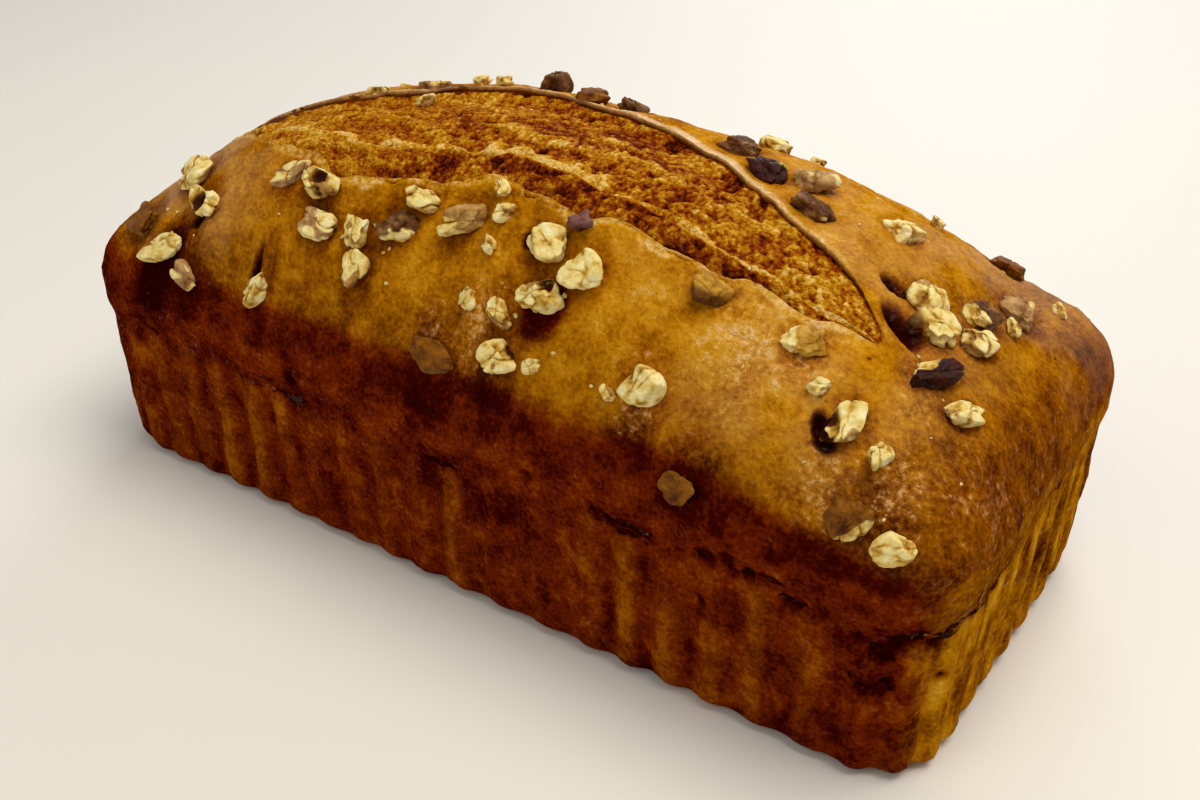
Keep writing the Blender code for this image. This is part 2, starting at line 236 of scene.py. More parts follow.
@dataclass
class Surface:
    """Points in millimetres with the quads between them, and named numbers for each point."""

    points: Array
    quads: Array
    marks: dict[str, Array] = field(default_factory=dict)

    @staticmethod
    def grid(points: Array, wrap: bool, marks: dict[str, Array] | None = None) -> Surface:
        """Joins a grid of points, shaped rows by columns by 3, into quads.

        Args:
            points: the grid.
            wrap: whether the last column meets the first.
            marks: numbers for each point, shaped rows by columns.

        Returns:
            The surface.
        """
        rows, columns = points.shape[:2]
        number = np.arange(rows * columns).reshape(rows, columns)
        after = np.roll(number, -1, axis=1) if wrap else number[:, 1:]
        here = number if wrap else number[:, :-1]
        quads = np.stack([here[:-1], after[:-1], after[1:], here[1:]], axis=-1).reshape(-1, 4)
        flat = {name: values.reshape(-1) for name, values in (marks or {}).items()}
        return Surface(points.reshape(-1, 3), quads, flat)

    @staticmethod
    def joined(parts: list[Surface]) -> Surface:
        """Several surfaces as one, each keeping its own points.

        Args:
            parts: the surfaces, all with the same marks.

        Returns:
            The one surface.
        """
        starts = np.cumsum([0] + [len(part.points) for part in parts[:-1]])
        quads = np.concatenate([part.quads + start for part, start in zip(parts, starts)])
        marks = {name: np.concatenate([part.marks[name] for part in parts]) for name in parts[0].marks}
        return Surface(np.concatenate([part.points for part in parts]), quads, marks)

    def triangles(self) -> tuple[Array, Array, Array]:
        """Merges points that coincide, so that seams and poles close, and splits quads into triangles.

        Returns:
            The merged points, the triangles facing outwards, and which original point each merged one was.
        """
        rounded = np.round(self.points, MERGE_DECIMALS)
        _, first, same = np.unique(rounded, axis=0, return_index=True, return_inverse=True)
        quads = same.reshape(-1)[self.quads]
        faces = np.concatenate([quads[:, [0, 1, 2]], quads[:, [0, 2, 3]]])
        ends = faces[:, [1, 2, 0]]
        faces = faces[(faces != ends).all(axis=1)]
        points = self.points[first]
        corners = points[faces] - points.mean(axis=0)
        if np.linalg.det(corners).sum() < 0:
            faces = faces[:, ::-1]
        return points, faces, first

    def piece(
        self, name: str, finish: Material, slot: str, nodes: tuple[str, ...], shift: Array
    ) -> Object:
        """Makes the Blender object, dresses it and ties it to the frame.

        Args:
            name: the object's name.
            finish: its material.
            slot: the record's material slot; not used.
            nodes: the CAD nodes that it stands for.
            shift: where the form's origin lies in the frame, in millimetres.

        Returns:
            The object.
        """
        points, faces, first = self.triangles()
        mesh = bpy.data.meshes.new(name)
        mesh.vertices.add(len(points))
        mesh.vertices.foreach_set("co", ((points + shift) * MM).ravel())
        mesh.loops.add(faces.size)
        mesh.loops.foreach_set("vertex_index", faces.astype(np.int32).ravel())
        mesh.polygons.add(len(faces))
        mesh.polygons.foreach_set("loop_start", np.arange(0, faces.size, 3, dtype=np.int32))
        mesh.update(calc_edges=True)
        for mark, values in self.marks.items():
            stored = mesh.attributes.new(mark, "FLOAT", "POINT")
            stored.data.foreach_set("value", values[first].astype(np.float32))
        mesh.shade_smooth()
        mesh.materials.append(finish)
        made = bpy.data.objects.new(name, mesh)
        bpy.context.scene.collection.objects.link(made)
        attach(made, ROOT)
        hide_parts(*nodes)
        log.info("%s: %d triangles", name, len(faces))
        return made


class NutKind(Enum):
    """What shows of a walnut piece."""

    PALE = "pale"
    TAN = "tan"
    BROWN = "brown"
    DARK = "dark"

    @property
    def slot(self) -> str:
        """The record's material slot for this kind."""
        return f"walnut_{self.value}"


@dataclass(frozen=True)
class Nut:
    """A walnut piece on the crust: its place and size in millimetres and its turn in degrees."""

    along: float
    across: float
    length: float
    width: float
    height: float
    turn: float
    kind: NutKind


PALE, TAN, BROWN, DARK = NutKind
NUTS = tuple(
    Nut(*row)
    for row in (
        # left end and the near slope
        (-78, -32, 13, 9.5, 3.4, 170, PALE),
        (-68.5, -38.7, 10, 6.5, 3.2, 160, PALE),
        (-89, -40, 12, 8, 2.6, 170, BROWN),
        (-78, -45, 14, 6, 3.0, 25, PALE),
        (-68.5, -47, 7.5, 5, 3.0, 150, TAN),
        (-46.5, -46.5, 9.5, 4.5, 3.4, 60, PALE),
        (-46.5, -33.5, 10, 4.5, 2.2, 30, TAN),
        (-37.5, -34, 9.5, 6.5, 3.6, 10, PALE),
        (-34.5, -38.9, 9.5, 6.5, 2.6, 0, TAN),
        (-24.5, -38, 7, 6, 3.2, 65, PALE),
        (-22, -41.9, 8, 6, 3.2, 90, PALE),
        (-15.5, -36, 9, 7, 3.2, 0, DARK),
        (-12, -31.6, 8.5, 5.2, 3.4, 5, PALE),
        (-1.5, -32.8, 10, 6, 3.4, 30, PALE),
        # middle of the near slope
        (18, -33, 9, 7.5, 3.4, 5, PALE),
        (27.3, -35, 9, 7.8, 3.4, 35, PALE),
        (21, -38.7, 9.8, 6.5, 3.4, 10, PALE),
        (13.5, -41.3, 7, 4.5, 3.0, 150, PALE),
        (15.5, -45, 7.8, 6.8, 3.4, 25, PALE),
        (0, -46.6, 12, 7, 2.4, 5, BROWN),
        (46, -43.3, 8.8, 7.4, 3.4, 0, PALE),
        (51.5, -30.6, 7.8, 6.2, 3.0, 20, BROWN),
        (69.5, -31.2, 8, 6.2, 2.2, 40, TAN),
        (56.5, -48.6, 7.5, 6, 2.0, 5, TAN),
        # right end
        (81, -38, 9.5, 6, 3.8, 50, PALE),
        (87.3, -46.2, 8.4, 7.4, 3.2, 15, BROWN),
        (95, -46.6, 7, 6, 3.2, 45, PALE),
        (88.3, -20.2, 12, 5.4, 3.2, 62, DARK),
        (94.6, -21.8, 8.5, 4.8, 3.2, 55, PALE),
        (80, -4.8, 9, 8, 3.4, 15, PALE),
        (84, -11, 9.5, 7, 4.0, 60, PALE),
        (89.4, -4, 7.5, 6.4, 3.4, 50, PALE),
        (87.5, 4, 8, 6, 3.2, 60, DARK),
        (91, 16.5, 9, 8, 3.0, 70, TAN),
        # beyond the split
        (69, 9, 8.5, 6.5, 3.0, 45, PALE),
        (52, 5.5, 9, 6.5, 4.0, 10, TAN),
        (44, 1.5, 9, 6, 3.2, 165, DARK),
        (56, -3, 9, 5.4, 3.2, 10, DARK),
        (34.5, 7.5, 9, 6, 3.0, 20, DARK),
        (36.5, 18, 7, 6, 3.2, 70, PALE),
        (6, 13.5, 7, 6, 3.2, 30, DARK),
        (-3, 11.5, 7.6, 6.2, 3.2, 50, BROWN),
        (-15.5, 14.5, 8, 7, 5.0, 0, DARK),
        (-39.5, 4, 9, 4.6, 2.6, 170, TAN),
        (-53, 1, 10, 4.4, 2.4, 165, PALE),
        # far slope
        (-66, 27, 9, 7, 3.2, 40, PALE),
        (-22, 36, 8.5, 7, 3.4, 120, PALE),
        (24, 31, 10, 7, 3.4, 15, TAN),
        (58, 38, 8, 6, 3.2, 80, PALE),
        (82, 33, 9, 7, 3.0, 130, BROWN),
    )
)

# Nuts whose bare meat shows along one edge, by number, with the edge's direction in degrees
BARE_EDGES = {26: -60, 34: 20, 12: -60, 14: 200, 33: 200, 23: 150, 28: 110}

# By number: nuts with toasted wrinkled skin, nuts that crust coats, nuts that batter coats, nuts with painted
# shade on their low side, nuts broken to flat faces, and nuts with a painted crescent of shadow in the crust
# below them
TOASTED = (12, 33, 38, 39, 41, 43)
COATED = (24,)
BATTERED = (22, 23)
SHADED_BELOW = (22,)
FLAT_FACED = (15, 16, 21, 27)
SHADOW_CRESCENTS = (4, 17)

# The chip with dark skin, by its place in the list of chips
DARK_CHIP = 4

# Chips of nut fused to the crust, as (along, across, size) in millimetres
CHIPS = (
    (7, -31, 5),
    (6.5, -35.5, 3.8),
    (4, -27.8, 4.4),
    (23.4, -29.4, 5.6),
    (23, -45, 4.2),
    (6, -41.5, 4.6),
    (39.5, -45, 3.4),
    (75, -36, 4.2),
    (88, -39.4, 5),
    (92, 9.5, 4.2),
    (-23, 8, 5),
    (-36, -3, 4.8),
    (-30, 9, 4.4),
    (-92, 12, 4.4),
    (-45, 34, 4.8),
    (5, 40, 4.4),
    (42, 27, 4.8),
    (70, 24, 4.2),
    (95, 30, 4),
)


@dataclass(frozen=True)
class Hole:
    """A hollow in the crust or in a nut, with painted shade inside it: place, size and depth in millimetres,
    turn in degrees.
    """

    along: float
    across: float
    length: float
    width: float
    turn: float
    depth: float
    in_crust: bool = True

    @staticmethod
    def under(nut: Nut, grown: float, along: float = 0, across: float = 0) -> Hole:
        """The ellipse of a nut, grown and shifted by millimetres, with no depth."""
        length, width = nut.length + grown, nut.width + grown
        return Hole(nut.along + along, nut.across + across, length, width, nut.turn, 0)

    @staticmethod
    def strongest(holes: list[Hole], x: Array, y: Array) -> Array:
        """The greatest share of any of some holes at each place."""
        return np.max([hole.share(x, y) for hole in holes], axis=0)

    def share(self, x: Array, y: Array) -> Array:
        """1 in the middle of the hollow, falling steeply to 0 past its elliptic edge.

        Args:
            x: places along the loaf.
            y: places across it.

        Returns:
            The share of the hollow's depth at each place.
        """
        angle = np.radians(self.turn)
        u = (x - self.along) * np.cos(angle) + (y - self.across) * np.sin(angle)
        v = (y - self.across) * np.cos(angle) - (x - self.along) * np.sin(angle)
        return np.exp(-(((2 * u / self.length) ** 2 + (2 * v / self.width) ** 2) ** 3))


HOLES = (
    Hole(80.6, -15.4, 9.5, 5.8, -31, 3.0),
    Hole(75.2, -7.6, 4.8, 3.8, 0, 2.0),
    Hole(78.4, -40.2, 5.5, 3.2, -30, 1.8),
    Hole(-69.2, -40.9, 3.6, 2.4, 20, 1.8),
    Hole(-49.0, -45.6, 1.8, 4.2, -25, 1.4),
    Hole(-37.0, -35.6, 3.6, 2.2, 10, 1.8, False),
    Hole(21.7, -39.3, 3.0, 2.4, 20, 2.2, False),
    Hole(18.0, -44.2, 3.4, 3.0, 60, 1.6, False),
    Hole(13.6, -33.4, 2.4, 2.0, 0, 1.6),
)

# Burnt pits in the near wall, as (along, height, radius) in millimetres
PITS = (
    (91.3, 33.3, 1.3),
    (93.9, 32.0, 1.9),
    (91.5, 28.3, 1.6),
    (98.0, 32.6, 1.5),
    (96.5, 29.2, 1.6),
    (95.1, 20.4, 2.1),
    (92.4, 20.6, 1.2),
    (97.2, 22.6, 1.5),
    (100.7, 34.4, 1.4),
    (102.7, 32.4, 1.1),
    (104.1, 23.2, 1.0),
    (61.9, 36.2, 2.5),
    (66.5, 38.6, 1.7),
    (67.6, 35.8, 1.3),
    (70.8, 36.7, 1.2),
    (61.1, 26.2, 1.2),
    (23.4, 39.4, 1.6),
    (-21.6, 33.8, 1.2),
    (-38.0, 40.4, 1.5),
)

# The crust's marks that its colours follow
CRUST_MARKS = ("tone", "maroon", "flecks", "sheen", "cracked", "pocked")

# From this share of the way out of the trench on, the crust is whole
SOUND = 0.99

# Where the crust is strewn with dry pale flecks and painted glints, as (along, across, spread) in millimetres
FLECKED = ((62, -36, 8), (70, -33, 6), (81, -45, 5), (92, -42, 7), (9, -43, 5), (45, -45, 5), (-1, -46, 4))


@dataclass(frozen=True)
class Split:
    """The split along the top, in millimetres: lips, torn step and crumb."""

    stations: tuple[tuple[float, float, float], ...] = (
        (-80, -20, -20),
        (-74, -23, -13),
        (-66, -25, -7),
        (-52, -29, -3),
        (-38, -31, 0),
        (-27, -32, 4),
        (-16, -30, 8),
        (-2, -26, 7),
        (10, -27, 6),
        (24, -28, 2),
        (36, -28, -2),
        (48, -28, -8),
        (62, -28, -11),
        (72, -26, -16),
        (83, -23.5, -23.5),
    )
    depth: float = 3.0
    terrace_share: float = 0.24
    lip_width: float = 1.2
    lip_curl: float = 0.7
    curl_reach: float = 2.5
    waver: float = 0.6
    wave: float = 26.0
    raggedness: float = 0.45
    full_width: float = 12.0
    terrace_drop: tuple[float, float] = (1.0, 0.3)
    crumb_drop: tuple[float, float] = (0.85, 0.4)

    @property
    def ends(self) -> tuple[float, float]:
        """Where the split begins and ends along the loaf."""
        return self.stations[0][0], self.stations[-1][0]

    def lips(self, x: Array) -> tuple[Array, Array]:
        """Place across of the near and the far lip, with waver and torn edge, at places along the loaf.

        Args:
            x: places along the loaf.

        Returns:
            Places across of the near lip and of the far lip.
        """
        table = np.array(self.stations, float)
        near = np.interp(x, table[:, 0], table[:, 1])
        far = np.interp(x, table[:, 0], table[:, 2])
        turn = 2 * np.pi * x / self.wave
        waver = self.waver * (np.sin(turn) + 0.6 * np.sin(1.8 * turn + 1))
        opened = self.opened(x)
        row = np.stack([x, np.zeros_like(x)], axis=-1)
        near_torn = self.raggedness * layered(row, 5.0, 3, 5)
        far_torn = self.raggedness * layered(row, 6.0, 3, 9)
        return near + (waver + near_torn) * opened, far - (waver - far_torn) * opened

    def opened(self, x: Array) -> Array:
        """How fully open the split is: 0 at its ends and beyond, 1 where it is wide.

        Args:
            x: places along the loaf.

        Returns:
            The share at each place.
        """
        table = np.array(self.stations, float)
        width = np.interp(x, table[:, 0], table[:, 2] - table[:, 1])
        return smooth_step(width / self.full_width)

    def floor(self, x: Array, y: Array) -> Array:
        """How far the torn crumb lies below the whole crust: a low step along the near lip, then a swell.

        Args:
            x: places along the loaf.
            y: places across it.

        Returns:
            Depths below the crust.
        """
        near, far = self.lips(x)
        width = np.maximum(far - near, 1e-6)
        share = (y - near) / width
        beyond_step = smooth_step((share - self.terrace_share) * width / self.lip_width + 0.5)
        up_step = np.clip(share / self.terrace_share, 0, 1)
        over = np.sin(np.pi * np.clip((share - self.terrace_share) / (1 - self.terrace_share), 0, 1))
        terrace = self.terrace_drop[0] + (self.terrace_drop[1] - self.terrace_drop[0]) * up_step
        crumb = self.crumb_drop[0] + (self.crumb_drop[1] - self.crumb_drop[0]) * over
        return self.depth * self.opened(x) * (terrace * (1 - beyond_step) + crumb * beyond_step)

    def curl(self, x: Array, y: Array) -> Array:
        """How far the crust beside the split curls up towards its lips.

        Args:
            x: places along the loaf.
            y: places across it.

        Returns:
            Heights above the smooth crust.
        """
        near, far = self.lips(x)
        away = np.maximum(near - y, 0) + np.maximum(y - far, 0)
        return self.lip_curl * self.opened(x) * np.exp(-away / self.curl_reach)


@dataclass(frozen=True)
class LoafForm:
    """The loaf's form in millimetres: pleated wall, swollen rim, round shoulder and domed top."""

    length: float = 215.0
    width: float = 99.0
    rim_height: float = 44.0
    corner_radius: float = 17.0
    corner_points: int = 17
    shoulder_inset: float = 8.0
    shoulder_rise: float = 8.9
    crown_rise: float = 37.6
    power_along: float = 3.1
    power_across: float = 2.8
    crest_shift: float = -4.0
    wall_taper: float = 1.6
    base_edge: float = 4.0
    liner_height: float = 36.0
    liner_slack: float = 1.5
    liner_fade: float = 12.0
    rim_swell: float = 0.9
    swell_span: float = 5.0
    pleats: int = 62
    pleat_depth: float = 0.65
    pleat_wander: float = 1.1
    wall_slump: float = 0.5
    swellings: tuple[tuple[float, float, float, float], ...] = ((0.5, 130, 107, 0.7), (0.3, 75, 94, 2.1))
    seat_depth: float = 0.9
    seat_reach: float = 0.3
    slope_step: float = 1.5
    split: Split = Split()

    def outline(self, share: Array) -> tuple[Array, Array]:
        """Points and outward normals of the rim's rounded rectangle.

        Args:
            share: shares of the perimeter, from the middle of +X.

        Returns:
            Plan points and unit normals.
        """
        corner_x, corner_y = self.length / 2 - self.corner_radius, self.width / 2 - self.corner_radius
        quarters = [np.linspace(quarter, quarter + 1, self.corner_points) for quarter in range(4)]
        turns = np.concatenate(quarters) * np.pi / 2
        side_x = np.repeat([1, -1, -1, 1], self.corner_points)
        side_y = np.repeat([1, 1, -1, -1], self.corner_points)
        rim_x = side_x * corner_x + self.corner_radius * np.cos(turns)
        rim_y = side_y * corner_y + self.corner_radius * np.sin(turns)
        start = self.length / 2
        rim_x = np.concatenate([[start], rim_x, [start]])
        rim_y = np.concatenate([[0], rim_y, [0]])
        angles = np.concatenate([[0], turns, [2 * np.pi]])
        steps = np.hypot(np.diff(rim_x), np.diff(rim_y))
        run = np.concatenate([[0], np.cumsum(steps)]) / steps.sum()
        angle = np.interp(share, run, angles)
        place = np.stack([np.interp(share, run, rim_x), np.interp(share, run, rim_y)], axis=-1)
        return place, np.stack([np.cos(angle), np.sin(angle)], axis=-1)

    def inset_of(self, x: Array, y: Array) -> Array:
        """How far inside the rim a point of the plan lies.

        Args:
            x: places along the loaf.
            y: places across it.

        Returns:
            Distances from the rim, less than 0 outside it.
        """
        out_x = np.abs(x) - (self.length / 2 - self.corner_radius)
        out_y = np.abs(y) - (self.width / 2 - self.corner_radius)
        corner = np.hypot(np.maximum(out_x, 0), np.maximum(out_y, 0))
        return self.corner_radius - corner - np.minimum(np.maximum(out_x, out_y), 0)

    def smooth_top(self, x: Array, y: Array) -> Array:
        """Height of the whole crust: rim, quarter-ellipse shoulder, crown of two powers, and swellings.

        Args:
            x: places along the loaf.
            y: places across it.

        Returns:
            Heights above the base.
        """
        inset = np.maximum(self.inset_of(x, y), 0)
        shoulder_share = inset / self.shoulder_inset
        outward = 1 - np.clip(shoulder_share, 0, 1)
        shoulder = self.shoulder_rise * np.sqrt(np.maximum(1 - outward**2, 0))
        across = np.abs((y - self.crest_shift * (1 - (2 * y / self.width) ** 2)) * 2 / self.width)
        along = np.abs(2 * x / self.length)
        crown = np.maximum(1 - along**self.power_along, 0) * np.maximum(1 - across**self.power_across, 0)
        lumps = np.zeros_like(x)
        for height, wave_x, wave_y, turn in self.swellings:
            lumps += height * np.sin(2 * np.pi * (x / wave_x + y / wave_y) + turn)
            lumps += height * np.sin(2 * np.pi * (x / wave_x - y / wave_y) + 2 * turn)
        return self.rim_height + shoulder + self.crown_rise * crown + lumps * smooth_step(shoulder_share)

    def seats(self, x: Array, y: Array) -> Array:
        """Depth of the seats that the nuts have pressed into the crust.

        Args:
            x: places along the loaf.
            y: places across it.

        Returns:
            Depths below the smooth crust.
        """
        total = np.zeros_like(x)
        for nut in NUTS:
            reach = self.seat_reach * (nut.length + nut.width)
            away = np.hypot(x - nut.along, y - nut.across) / reach
            total += self.seat_depth * np.exp(-(away**4))
        return total * smooth_step(self.inset_of(x, y) / self.shoulder_inset)

    def crust_top(self, x: Array, y: Array) -> Array:
        """Height of the crust with its nut seats and curled lips."""
        return self.smooth_top(x, y) - self.seats(x, y) + self.split.curl(x, y)

    def liner_line(self, turn: Array) -> Array:
        """Height of the paper liner's edge round the loaf, for turns in radians."""
        return self.liner_height + self.liner_slack * (np.sin(5 * turn + 1) + 0.5 * np.sin(13 * turn))

    def pleat(self, turn: Array) -> Array:
        """The pleats' wave round the loaf, from -1 in a groove to 1 on a ridge."""
        wander = self.pleat_wander * (np.sin(3 * turn + 1) + 0.6 * np.sin(8 * turn + 2))
        return (0.75 + 0.25 * np.sin(11 * turn + 0.5)) * np.cos(self.pleats * turn + wander)

    def wall_offset(self, share: Array, height: Array) -> Array:
        """How far the wall stands out from the rim's outline: taper, base edge, swell, pleats and slump.

        Args:
            share: places round the loaf, from 0 to 1.
            height: heights above the base.

        Returns:
            Distances outward, less than 0 inside the outline.
        """
        way_up = height / self.rim_height
        taper = -self.wall_taper * (1 - way_up)
        edge = 1 - np.clip(height / self.base_edge, 0, 1)
        rounding = -self.base_edge * (1 - np.sqrt(1 - edge**2))
        turn = 2 * np.pi * share
        liner = self.liner_line(turn)
        swell = self.rim_swell * (rise(height, liner, self.swell_span) - 1)
        pleats = self.pleat_depth * self.pleat(turn) * fall(height, liner, self.liner_fade)
        slump = self.wall_slump * np.sin(4 * turn + 0.6) * np.sin(np.pi * way_up)
        return taper + rounding + swell + pleats + slump

    def seat_frame(self, along: float, across: float) -> tuple[Array, Array]:
        """Where a piece sits on the crust, and how it is turned there.

        Args:
            along: its place along the loaf.
            across: its place across.

        Returns:
            The point on the crust, and a matrix whose columns are the piece's length, width and height.
        """
        x = along + self.slope_step * np.array([0.0, 1, -1, 0, 0])
        y = across + self.slope_step * np.array([0.0, 0, 0, 1, -1])
        z = self.smooth_top(x, np.clip(y, -self.width / 2, self.width / 2))
        normal = Vector((z[2] - z[1], z[4] - z[3], 2 * self.slope_step)).normalized()
        near, far = self.split.lips(x[:1])
        lip_width = self.split.lip_width
        inside = rise(y[:1], near, lip_width) * fall(y[:1], far, lip_width)
        drop = self.split.floor(x[:1], y[:1]) * inside - self.split.curl(x[:1], y[:1]) * (1 - inside)
        height = self.smooth_top(x[:1], y[:1]) - self.seats(x[:1], y[:1]) - drop
        side = normal.cross(Vector((1, 0, 0))).normalized()
        upright = Matrix((side.cross(normal), side, normal)).transposed()
        return np.array([along, across, height[0]]), np.array(upright)


@dataclass
class Crust:
    """The browned crust: one closed skin over base, wall and top, sunk to a trench under the torn crumb."""

    form: LoafForm
    columns: int = 920
    spine: float = 88.0
    trench_half: float = 3.0
    edge_run: tuple[tuple[int, float], ...] = ((-107, 56), (50, 56.5), (80, 52.5), (92, 50), (104, 46))
    burnt_corner: tuple[tuple[float, float], ...] = ((97, 9), (-49, 5), (28, 13))  # centre, spread in X, Y, Z
    shade_ring_grown: float = 2.4  # how much larger than a nut the ring of painted shade round it is
    crescent_shadow: tuple[float, float, float] = (0.4, 0.8, -1.15)  # growth of a nut's ellipse, shifts in X and Y, for the painted crescent of shadow below it
    wall_rings: int = 36
    shoulder_rings: int = 11
    crown_rings: int = 46
    trench: tuple[tuple[float, float, float], ...] = (
        (0.0, 99.0, 6.0),
        (0.25, 5.0, 5.6),
        (0.5, 1.2, 4.6),
        (0.7, -0.5, 2.6),
        (0.85, -0.25, 0.9),
        (1.0, 0.0, 0.0),
    )  # share of the way from the middle to a lip, distance in from the lip, and depth there

    def rings(self) -> tuple[Array, Array, Array]:
        """The rings from the middle of the base to the middle of the top.

        Returns:
            Each ring's height on the wall, or -1 on the top, its inset from the rim, and its scale
            about the spine.
        """
        form = self.form
        base = np.array([0.0, 0.35, 0.7, 0.9])
        edge = form.base_edge * (1 - np.cos(np.linspace(0, np.pi / 2, 5)))
        wall = np.linspace(form.base_edge, form.rim_height, self.wall_rings + 1)[1:]
        turn = np.linspace(0, np.pi / 2, self.shoulder_rings + 1)[1:]
        inset = form.shoulder_inset * (1 - np.cos(turn))
        steps = np.interp(np.linspace(0, 1, self.crown_rings), [0, 0.8, 1], [1.0, 0.8, 0.35])
        lip = self.trench_half / (form.width / 2 - form.shoulder_inset)
        crown = 1 - (1 - lip) * np.cumsum(steps) / steps.sum()
        trench = lip * np.array([row[0] for row in self.trench[-2::-1]])
        height = np.concatenate([0 * base, edge, wall, np.full(len(inset) + len(crown) + len(trench), -1.0)])
        full_inset = np.full(len(crown) + len(trench), inset[-1])
        insets = np.concatenate([0 * base, 0 * edge, 0 * wall, inset, full_inset])
        scale = np.concatenate([base, 0 * edge + 1, 0 * wall + 1, 0 * inset + 1, crown, trench])
        return height, insets, scale

    def lip_places(self, x: Array) -> tuple[Array, Array]:
        """The lips, led on beyond the split's ends to the straight lines that the rings follow there.

        Args:
            x: places along the loaf.

        Returns:
            Places across of the near and of the far line.
        """
        near, far = self.form.split.lips(x)
        start, end = self.form.split.ends
        limit = self.form.length / 2 - self.form.shoulder_inset
        beyond = np.maximum((start - x) / (limit + start), (x - end) / (limit - end))
        fade = smooth_step(beyond)
        return near * (1 - fade) - self.trench_half * fade, far * (1 - fade) + self.trench_half * fade

    def warped(self, x: Array, q: Array) -> Array:
        """Moves straight rings so that two lie along the lips, in proportion between rim, lips and rim.

        Args:
            x: places along the loaf.
            q: places across on the straight rings.

        Returns:
            Places across on the moved rings.
        """
        near, far = self.lip_places(x)
        limit = self.form.width / 2 - self.form.shoulder_inset
        half = self.trench_half
        middle = (near + far) / 2
        outer_near = -limit + (q + limit) * (near + limit) / (limit - half)
        outer_far = limit - (limit - q) * (limit - far) / (limit - half)
        inner = np.where(q < 0, middle - (middle - near) * (-q / half), middle + (far - middle) * (q / half))
        placed = np.where(q <= -half, outer_near, np.where(q >= half, outer_far, inner))
        return np.where(np.abs(q) >= limit, q, placed)

    def surface(self) -> Surface:
        """Lays the rings over the form and adds the crust's relief along its normals.

        Returns:
            The crust with its marks.
        """
        form, split = self.form, self.form.split
        height, inset, scale = (values[:, None] for values in self.rings())
        share = np.arange(self.columns)[None, :] / self.columns
        rim, normal = form.outline(share[0])
        on_top = height < 0
        offset = np.where(on_top, -inset, form.wall_offset(share, np.maximum(height, 0)))
        spine_x = np.clip(rim[:, 0], -self.spine, self.spine)
        x = spine_x + (rim[:, 0] + normal[:, 0] * offset - spine_x) * scale
        q = (rim[:, 1] + normal[:, 1] * offset) * scale
        y = np.where(on_top, self.warped(x, q), q)
        way, inward, depth = np.array(self.trench).T
        share_in = np.clip(np.abs(q) / self.trench_half, 0, 1)
        opened = split.opened(x) * on_top * (scale < 1) * (np.abs(x) < self.spine)
        near, far = self.lip_places(x)
        inward = np.minimum(np.interp(share_in, way, inward), (far - near) / 2)
        y = np.where((share_in < 1) & (q < 0), y * (1 - opened) + (near + inward) * opened, y)
        y = np.where((share_in < 1) & (q > 0), y * (1 - opened) + (far - inward) * opened, y)
        z = np.where(on_top, form.crust_top(x, y), height) - opened * np.interp(share_in, way, depth)
        points = np.stack([x, y, z], axis=-1)
        marks = self.marks(points, share, height, scale, share_in)
        points = points + self.normals(points) * self.relief(points, marks)[..., None]
        points[height[:, 0] == 0, :, 2] = 0
        middle = scale[:, 0] == 0
        mirrored = points[middle][:, (-np.arange(self.columns)) % self.columns]
        mirrored[..., 0] = points[middle][..., 0]
        points[middle] = (points[middle] + mirrored) / 2
        return Surface.grid(points, True, {name: marks[name] for name in CRUST_MARKS})

    def normals(self, points: Array) -> Array:
        """Outward unit normals of the grid, from the differences between neighbouring points.

        Args:
            points: the grid of points.

        Returns:
            A normal for each point.
        """
        around = np.roll(points, -1, axis=1) - np.roll(points, 1, axis=1)
        along = np.gradient(points, axis=0)
        crossed = np.cross(around, along)
        return crossed / np.maximum(np.linalg.norm(crossed, axis=-1, keepdims=True), 1e-9)

    def marks(
        self, points: Array, share: Array, height: Array, scale: Array, share_in: Array
    ) -> dict[str, Array]:
        """Works out where the crust is dark, maroon, flecked, glossy or torn.

        Args:
            points: the grid.
            share: each column's share of the way round.
            height: each ring's height on the wall, or -1 on the top.
            scale: each ring's scale about the spine.
            share_in: 1 outside the trench, falling to 0 along its middle.

        Returns:
            Grids of numbers by name: tone from dark to golden and maroon from golden to red, both with
                painted shade
            round and below nuts, in holes and in the trench; flecks from none to pale, for dry flecks and
            painted glints;
            sheen from matt to glossy, which also paints a pale reflection; and the masks that colours and
            relief follow.
        """
        x, y, z = np.moveaxis(points, -1, 0)
        on_top, on_wall = height < 0, height >= 0
        liner = self.form.liner_line(2 * np.pi * share)
        pleat = self.form.pleat(2 * np.pi * share)
        edge = np.interp(x, *np.array(self.edge_run).T)
        slow = layered(points, 38.0, 2, 3)
        blotch = layered(points, 9.0, 3, 11)
        patch = layered(points * [1, 1, 0.45], 15.0, 2, 15)
        streak = layered(points * [1, 1, 0.18], 2.6, 3, 13)
        speck = layered(points, 3.4, 3, 17)
        below = fall(z, liner, 3) * on_wall
        up = smooth_step((z - edge + 0.8 + 1.2 * slow + 1.6 * blotch) / 3.6 + 0.5)
        end_side = rise(x, 96, 9) * fall(np.abs(y + 1), 47, 8)
        far_corner = rise(y, 6, 14) * rise(x, 60, 25)

